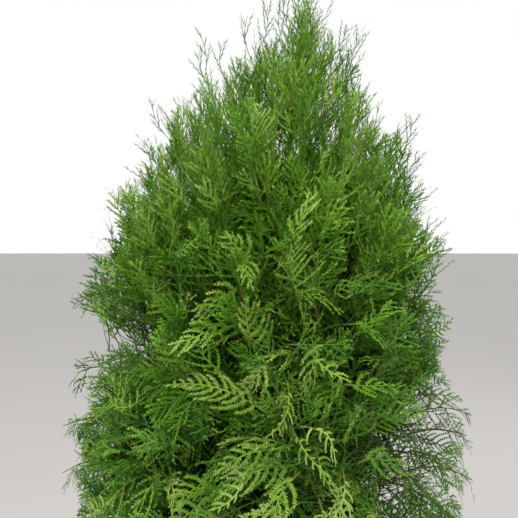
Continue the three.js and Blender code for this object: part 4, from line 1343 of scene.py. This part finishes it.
# a profile with each corner rounded: the quadratic curve between the points so far before and after it
def rounded(corners, size):
    corners = np.array(corners)
    before, after = corners[:-2] - corners[1:-1], corners[2:] - corners[1:-1]
    least = np.minimum(np.linalg.norm(before, axis=1), np.linalg.norm(after, axis=1))
    cut = np.minimum(size, least * pot["cornerShare"])[:, None]
    t = np.linspace(0, 1, pot["turnSteps"] + 1)
    arcs = bezier(corners[1:-1] + unit(before) * cut, corners[1:-1], corners[1:-1] + unit(after) * cut, t)
    return np.concatenate([corners[:1], arcs.reshape(-1, 2), corners[-1:]])


# a shallow step in the wall: points of radius and height that leave the line and come back
def wallStep(z, half, out):
    onBand = pot["bandRadius"] + pot["bandTaper"] * pot["beadTaper"]
    r = wallRadius(z) if z < pot["shoulderHeight"] else onBand
    near, far = (half * share for share in pot["stepEnds"])
    return [(r, z - far), (r + out, z - near), (r + out, z + near), (r, z + far)]


def potProfile():
    p = pot
    rimFoot = p["height"] - p["rimHeight"]
    bandFoot = p["shoulderHeight"] + p["bandRise"]
    levels = np.linspace(*drain["panel"], drain["rows"])
    foot = [(0, 0), (p["baseRadius"], 0), (p["baseRadius"] + 1e-5, levels[0])]
    foot = rounded(foot, p["chamfer"] * p["footRounding"])[:-1]
    outside = np.stack([wallRadius(levels), levels], 1)
    inside = np.stack([wallRadius(levels) - p["wall"], levels], 1)[::-1]
    upper = [
        outside[-1],
        *wallStep(p["grooves"][0], p["grooveHalf"], -p["grooveDepth"]),
        *wallStep(p["grooves"][1], p["grooveHalf"], -p["grooveDepth"]),
        (p["shoulderRadius"], p["shoulderHeight"]),
        (p["bandRadius"], bandFoot),
        *wallStep(p["bead"], p["beadHalf"], p["beadHeight"]),
        (p["bandRadius"] + p["bandTaper"], rimFoot),
        (p["rimRadius"], rimFoot + p["rimRise"]),
        (p["rimRadius"], p["height"]),
        (p["bandRadius"] - p["wall"] + p["bandTaper"], p["height"]),
        (p["bandRadius"] - p["wall"], bandFoot),
        (p["shoulderRadius"] - p["wall"], p["shoulderHeight"]),
        inside[0],
    ]
    upper = rounded(upper, p["edge"])[1:-1]
    floor = [(p["baseRadius"] - p["wall"], p["floor"]), (0, p["floor"])]
    first = len(foot) - 1
    return np.concatenate([foot, outside, upper, inside, floor]), first, first + len(outside) + len(upper)


# fine upright flutes round the band: a cosine that fades in and out with height
def potRelief(r, z, turn):
    low, high = pot["fluted"]
    share = np.clip((z - low) / (high - low), 0, 1)
    depth = pot["fluteDepth"] * np.cos(pot["flutes"] * turn) * np.sin(np.pi * share)
    return r + depth * (r > pot["bandRadius"]), z


# The ring of a hole's edge, a point for each border point of its panel. It lies from the hole's middle
# towards the border point: the radius times the unit vector of turn times wall radius, and height.
def holeRing(border, along, middle, thickness):
    step = 2 * np.pi / pot["columns"]
    r = np.hypot(border[:, 0], border[:, 1])
    way = unit(np.stack([along * step * r, border[:, 2] - drain["height"]], -1)) * drain["radius"]
    z = drain["height"] + way[:, 1]
    radius = wallRadius(z) - thickness
    turn = middle * step + way[:, 0] / radius
    return np.stack([radius * np.cos(turn), radius * np.sin(turn), z], -1)


# triangles between two closed rings of as many points
def ringBand(first, second):
    nextFirst, nextSecond = np.roll(first, -1), np.roll(second, -1)
    return [np.stack([first, nextFirst, nextSecond], -1), np.stack([first, nextSecond, second], -1)]


# leaves each hole's panel out of the grid, outside and inside, and joins the panel's border to the hole's
# ring, and the outer ring to the inner one
def pierce(points, triangles, rows, starts):
    columns, half, height = pot["columns"], drain["halfColumns"], drain["rows"] - 1
    quads = np.ones((rows - 1, columns), bool)
    gridSize = 2 * quads.size
    ahead, back = np.arange(-half, half), np.arange(half, -half, -1)
    along = np.concatenate([ahead, np.full(height, half), back, np.full(height, -half)])
    up = [np.zeros(2 * half, int), np.arange(height), np.full(2 * half, height), np.arange(height, 0, -1)]
    up = np.concatenate(up)
    count = len(along)
    extra, bands = [], []
    for k in range(drain["count"]):
        middle = int((k + 0.5) * columns / drain["count"])
        rings = []
        for row, thickness in zip(starts, (0, pot["wall"])):
            quads[row:row + height, middle - half:middle + half] = False
            border = (row + up) * columns + middle + along
            rings.append(len(points) + len(extra) * count + np.arange(count))
            extra.append(holeRing(points[border], along, middle, thickness))
            bands += ringBand(border, rings[-1])
        bands += ringBand(rings[0], rings[1][(4 * half + height - np.arange(count)) % count])
    kept = np.concatenate([np.tile(quads.ravel(), 2), np.ones(len(triangles) - gridSize, bool)])
    return np.concatenate([points, *extra]), np.concatenate([triangles[kept], *bands])


# black moulded plastic, greyed by dust in patches and towards its foot
def potFinish():
    f = Finish("pot_plastic")
    where = f.place()
    grain = f.noise(where, 900.0, 3.0, 0.6)
    dust = f.noise(where, 11.0, 6.0, 0.7)
    low = f.rise(0.11, 0.0, 0.5)
    clean = f.ramp(dust, [(0.38, (0.014, 0.015, 0.016)), (0.78, (0.040, 0.039, 0.037))])
    f.set(Base_Color=f.blend(low * dust, clean, (0.16, 0.13, 0.10)))
    f.set(Roughness=0.36 + dust * 0.3 + low * 0.3, Normal=f.bump(grain, 0.10, 0.0003))
    return f.material


def makePot():
    profile, outer, inner = potProfile()
    points, triangles = turnedShape(profile, pot["columns"], potRelief)
    points, triangles = pierce(points, triangles, len(profile) - 2, (outer, inner))
    shell = makePiece("pot_shell", points, triangles, [potFinish()], smooth=True, crease=32)
    declare(shell, ["pot"])


# Soil: a low mound of crumbs, with chips of bark and pale grains strewn on it. Its outline keeps the gap
# from the pot: its foot and shoulder lie so far above the pot's, and its edge ends so far below the mound.
soil = dict(
    top=0.2725, edge=0.267, crown=0.045, gap=0.0034, footRise=0.0003, shoulderRise=0.001, bandRise=0.006,
    edgeDrop=0.001, columns=160, rings=60, outermost=0.002, innermost=0.004, crumb=0.0011, rimLeft=0.001,
    chips=420, chip=((0.004, 0.013), (0.003, 0.007), (0.0010, 0.0026)), chipTilt=0.22,
    grains=260, grain=(0.0014, 0.0032), grainTilt=1.0,
    reach=(0.030, 0.150), sink=0.3, uneven=(0.7, 1.15), seed=31,
)


def soilFinish():
    f = Finish("potting_soil")
    where = f.place()
    crumbs = f.noise(where, 320.0, 6.0, 0.7)
    damp = f.noise(where, 14.0, 3.0, 0.5)
    dark = f.ramp(crumbs, [(0.3, (0.010, 0.007, 0.005)), (0.72, (0.075, 0.048, 0.030))])
    f.set(Base_Color=f.blend(damp * 0.6, dark, (0.030, 0.020, 0.013)), Roughness=0.95)
    f.set(Normal=f.bump(crumbs, 1.0, 0.0015))
    return f.material


def barkChipFinish():
    f = Finish("bark_chip")
    tone = f.noise(f.place(), 60.0, 2.0, 0.5)
    fibre = f.noise(f.place((1, 6, 1)), 300.0, 3.0, 0.6)
    f.set(Base_Color=f.ramp(tone, [(0.35, (0.060, 0.032, 0.018)), (0.65, (0.190, 0.110, 0.062))]))
    f.set(Roughness=0.85, Normal=f.bump(fibre, 0.5, 0.0006))
    return f.material


# height of the mound at a distance from the trunk
def soilHeight(r):
    return np.interp(r, (soil["crown"], pot["bandRadius"] - soil["gap"]), (soil["top"], soil["edge"]))


# crumbs: a sum of waves that cross one another, higher away from the rim
def soilRelief(r, z, turn):
    x, y = r * np.cos(turn), r * np.sin(turn)
    waves = np.sin(410 * x + 3 * np.sin(170 * y)) * np.cos(380 * y + 2 * np.sin(210 * x))
    waves = waves + 0.6 * np.sin(900 * x + 640 * y) * np.cos(760 * y - 530 * x)
    onTop = (z > soil["edge"] - 1e-4) & (r < pot["bandRadius"] - soil["gap"] - soil["rimLeft"])
    return r, z + soil["crumb"] * waves * onTop


# a box of size 1 about its middle, and its faces
boxCorners = np.array([(x, y, z) for z in (-1, 1) for x, y in ((-1, -1), (1, -1), (1, 1), (-1, 1))]) * 0.5
boxFaces = np.array([
    (0, 2, 1), (0, 3, 2), (4, 5, 6), (4, 6, 7), (0, 1, 5), (0, 5, 4),
    (1, 2, 6), (1, 6, 5), (2, 3, 7), (2, 7, 6), (3, 0, 4), (3, 4, 7),
])


# boxes strewn flat on the mound, each turned about its own middle, with uneven corners
def strewn(rng, count, sizes, tilt):
    nearest, furthest = soil["reach"]
    r = np.sqrt(rng.uniform(nearest ** 2, furthest ** 2, count))
    turn = rng.uniform(0, 2 * np.pi, count)
    middle = np.stack([r * np.cos(turn), r * np.sin(turn), soilHeight(r)], -1)
    size = np.stack([rng.uniform(*pair, count) for pair in sizes], -1)
    up = unit(above + rng.normal(0, tilt, (count, 3)))
    ahead = unit(np.cross(up, rng.normal(0, 1, (count, 3))))
    axes = ahead, np.cross(up, ahead), up
    corners = boxCorners * size[:, None] * rng.uniform(*soil["uneven"], (count, len(boxCorners), 3))
    points = sum(corners[..., k:k + 1] * axis[:, None] for k, axis in enumerate(axes))
    points = points + (middle + above * (size[:, 2] * soil["sink"])[:, None])[:, None]
    return copies(points, boxFaces)


def makeSoil():
    outer = pot["bandRadius"] - soil["gap"]
    foot, shoulder = pot["floor"] + soil["footRise"], pot["shoulderHeight"]
    rings = np.linspace(outer - soil["outermost"], soil["innermost"], soil["rings"])
    side = [
        (0, foot),
        (pot["baseRadius"] - soil["gap"], foot),
        (pot["shoulderRadius"] - soil["gap"], shoulder + soil["shoulderRise"]),
        (outer, shoulder + soil["bandRise"]),
        (outer, soil["edge"] - soil["edgeDrop"]),
    ]
    profile = np.concatenate([side, np.stack([rings, soilHeight(rings)], 1), [(0, soil["top"])]])
    points, triangles = turnedShape(profile, soil["columns"], soilRelief)
    fill = makePiece("soil_fill", points, triangles, [soilFinish()], smooth=True, crease=50)
    declare(fill, ["soil"])
    rng = np.random.default_rng(soil["seed"])
    points, triangles = strewn(rng, soil["chips"], soil["chip"], soil["chipTilt"])
    declare(makePiece("soil_chips", points, triangles, [barkChipFinish()]), ["soil"])
    points, triangles = strewn(rng, soil["grains"], (soil["grain"],) * 3, soil["grainTilt"])
    pale = plainFinish("pale_grain", (0.56, 0.54, 0.49), 0.85)
    declare(makePiece("soil_grains", points, triangles, [pale]), ["soil"])


makePot()
makeSoil()
print("pot and soil made")

# Floor, sky and lights
stage = dict(
    floorHalf=40.0, floorColour=(0.47, 0.455, 0.44), floorRough=0.9,
    skyColour=(1.0, 1.0, 1.0), skyStrength=1.0,
    lights=[
        # name, place, aimed at, size, power, colour
        ("key", (-0.6, -1.9, 3.8), (0, 0, 1.0), 2.4, 118, (1.0, 0.99, 0.95)),
        ("fill", (2.6, 1.6, 2.6), (0, 0, 1.0), 2.5, 18, (1.0, 1.0, 1.0)),
    ],
)


def setStage():
    half = stage["floorHalf"]
    corners = np.array([(-half, -half, 0), (half, -half, 0), (half, half, 0), (-half, half, 0)], float)
    matt = plainFinish("floor", stage["floorColour"], stage["floorRough"])
    floor = makePiece("floor", corners, np.array([[0, 1, 2], [0, 2, 3]]), [matt])
    world = bpy.data.worlds.new("sky")
    world.use_nodes = True
    back = world.node_tree.nodes["Background"]
    back.inputs["Color"].default_value = (*stage["skyColour"], 1)
    back.inputs["Strength"].default_value = stage["skyStrength"]
    bpy.context.scene.world = world
    for name, place, aim, size, power, colour in stage["lights"]:
        lamp = bpy.data.lights.new(name, "AREA")
        lamp.shape = "DISK"
        lamp.size = size
        lamp.energy = power
        lamp.color = colour
        turn = (Vector(aim) - Vector(place)).to_track_quat("-Z", "Y").to_euler()
        placeHolder(name, lamp, place, turn)
    bpy.context.scene.view_settings.view_transform = "Standard"


setStage()
print("stage set")
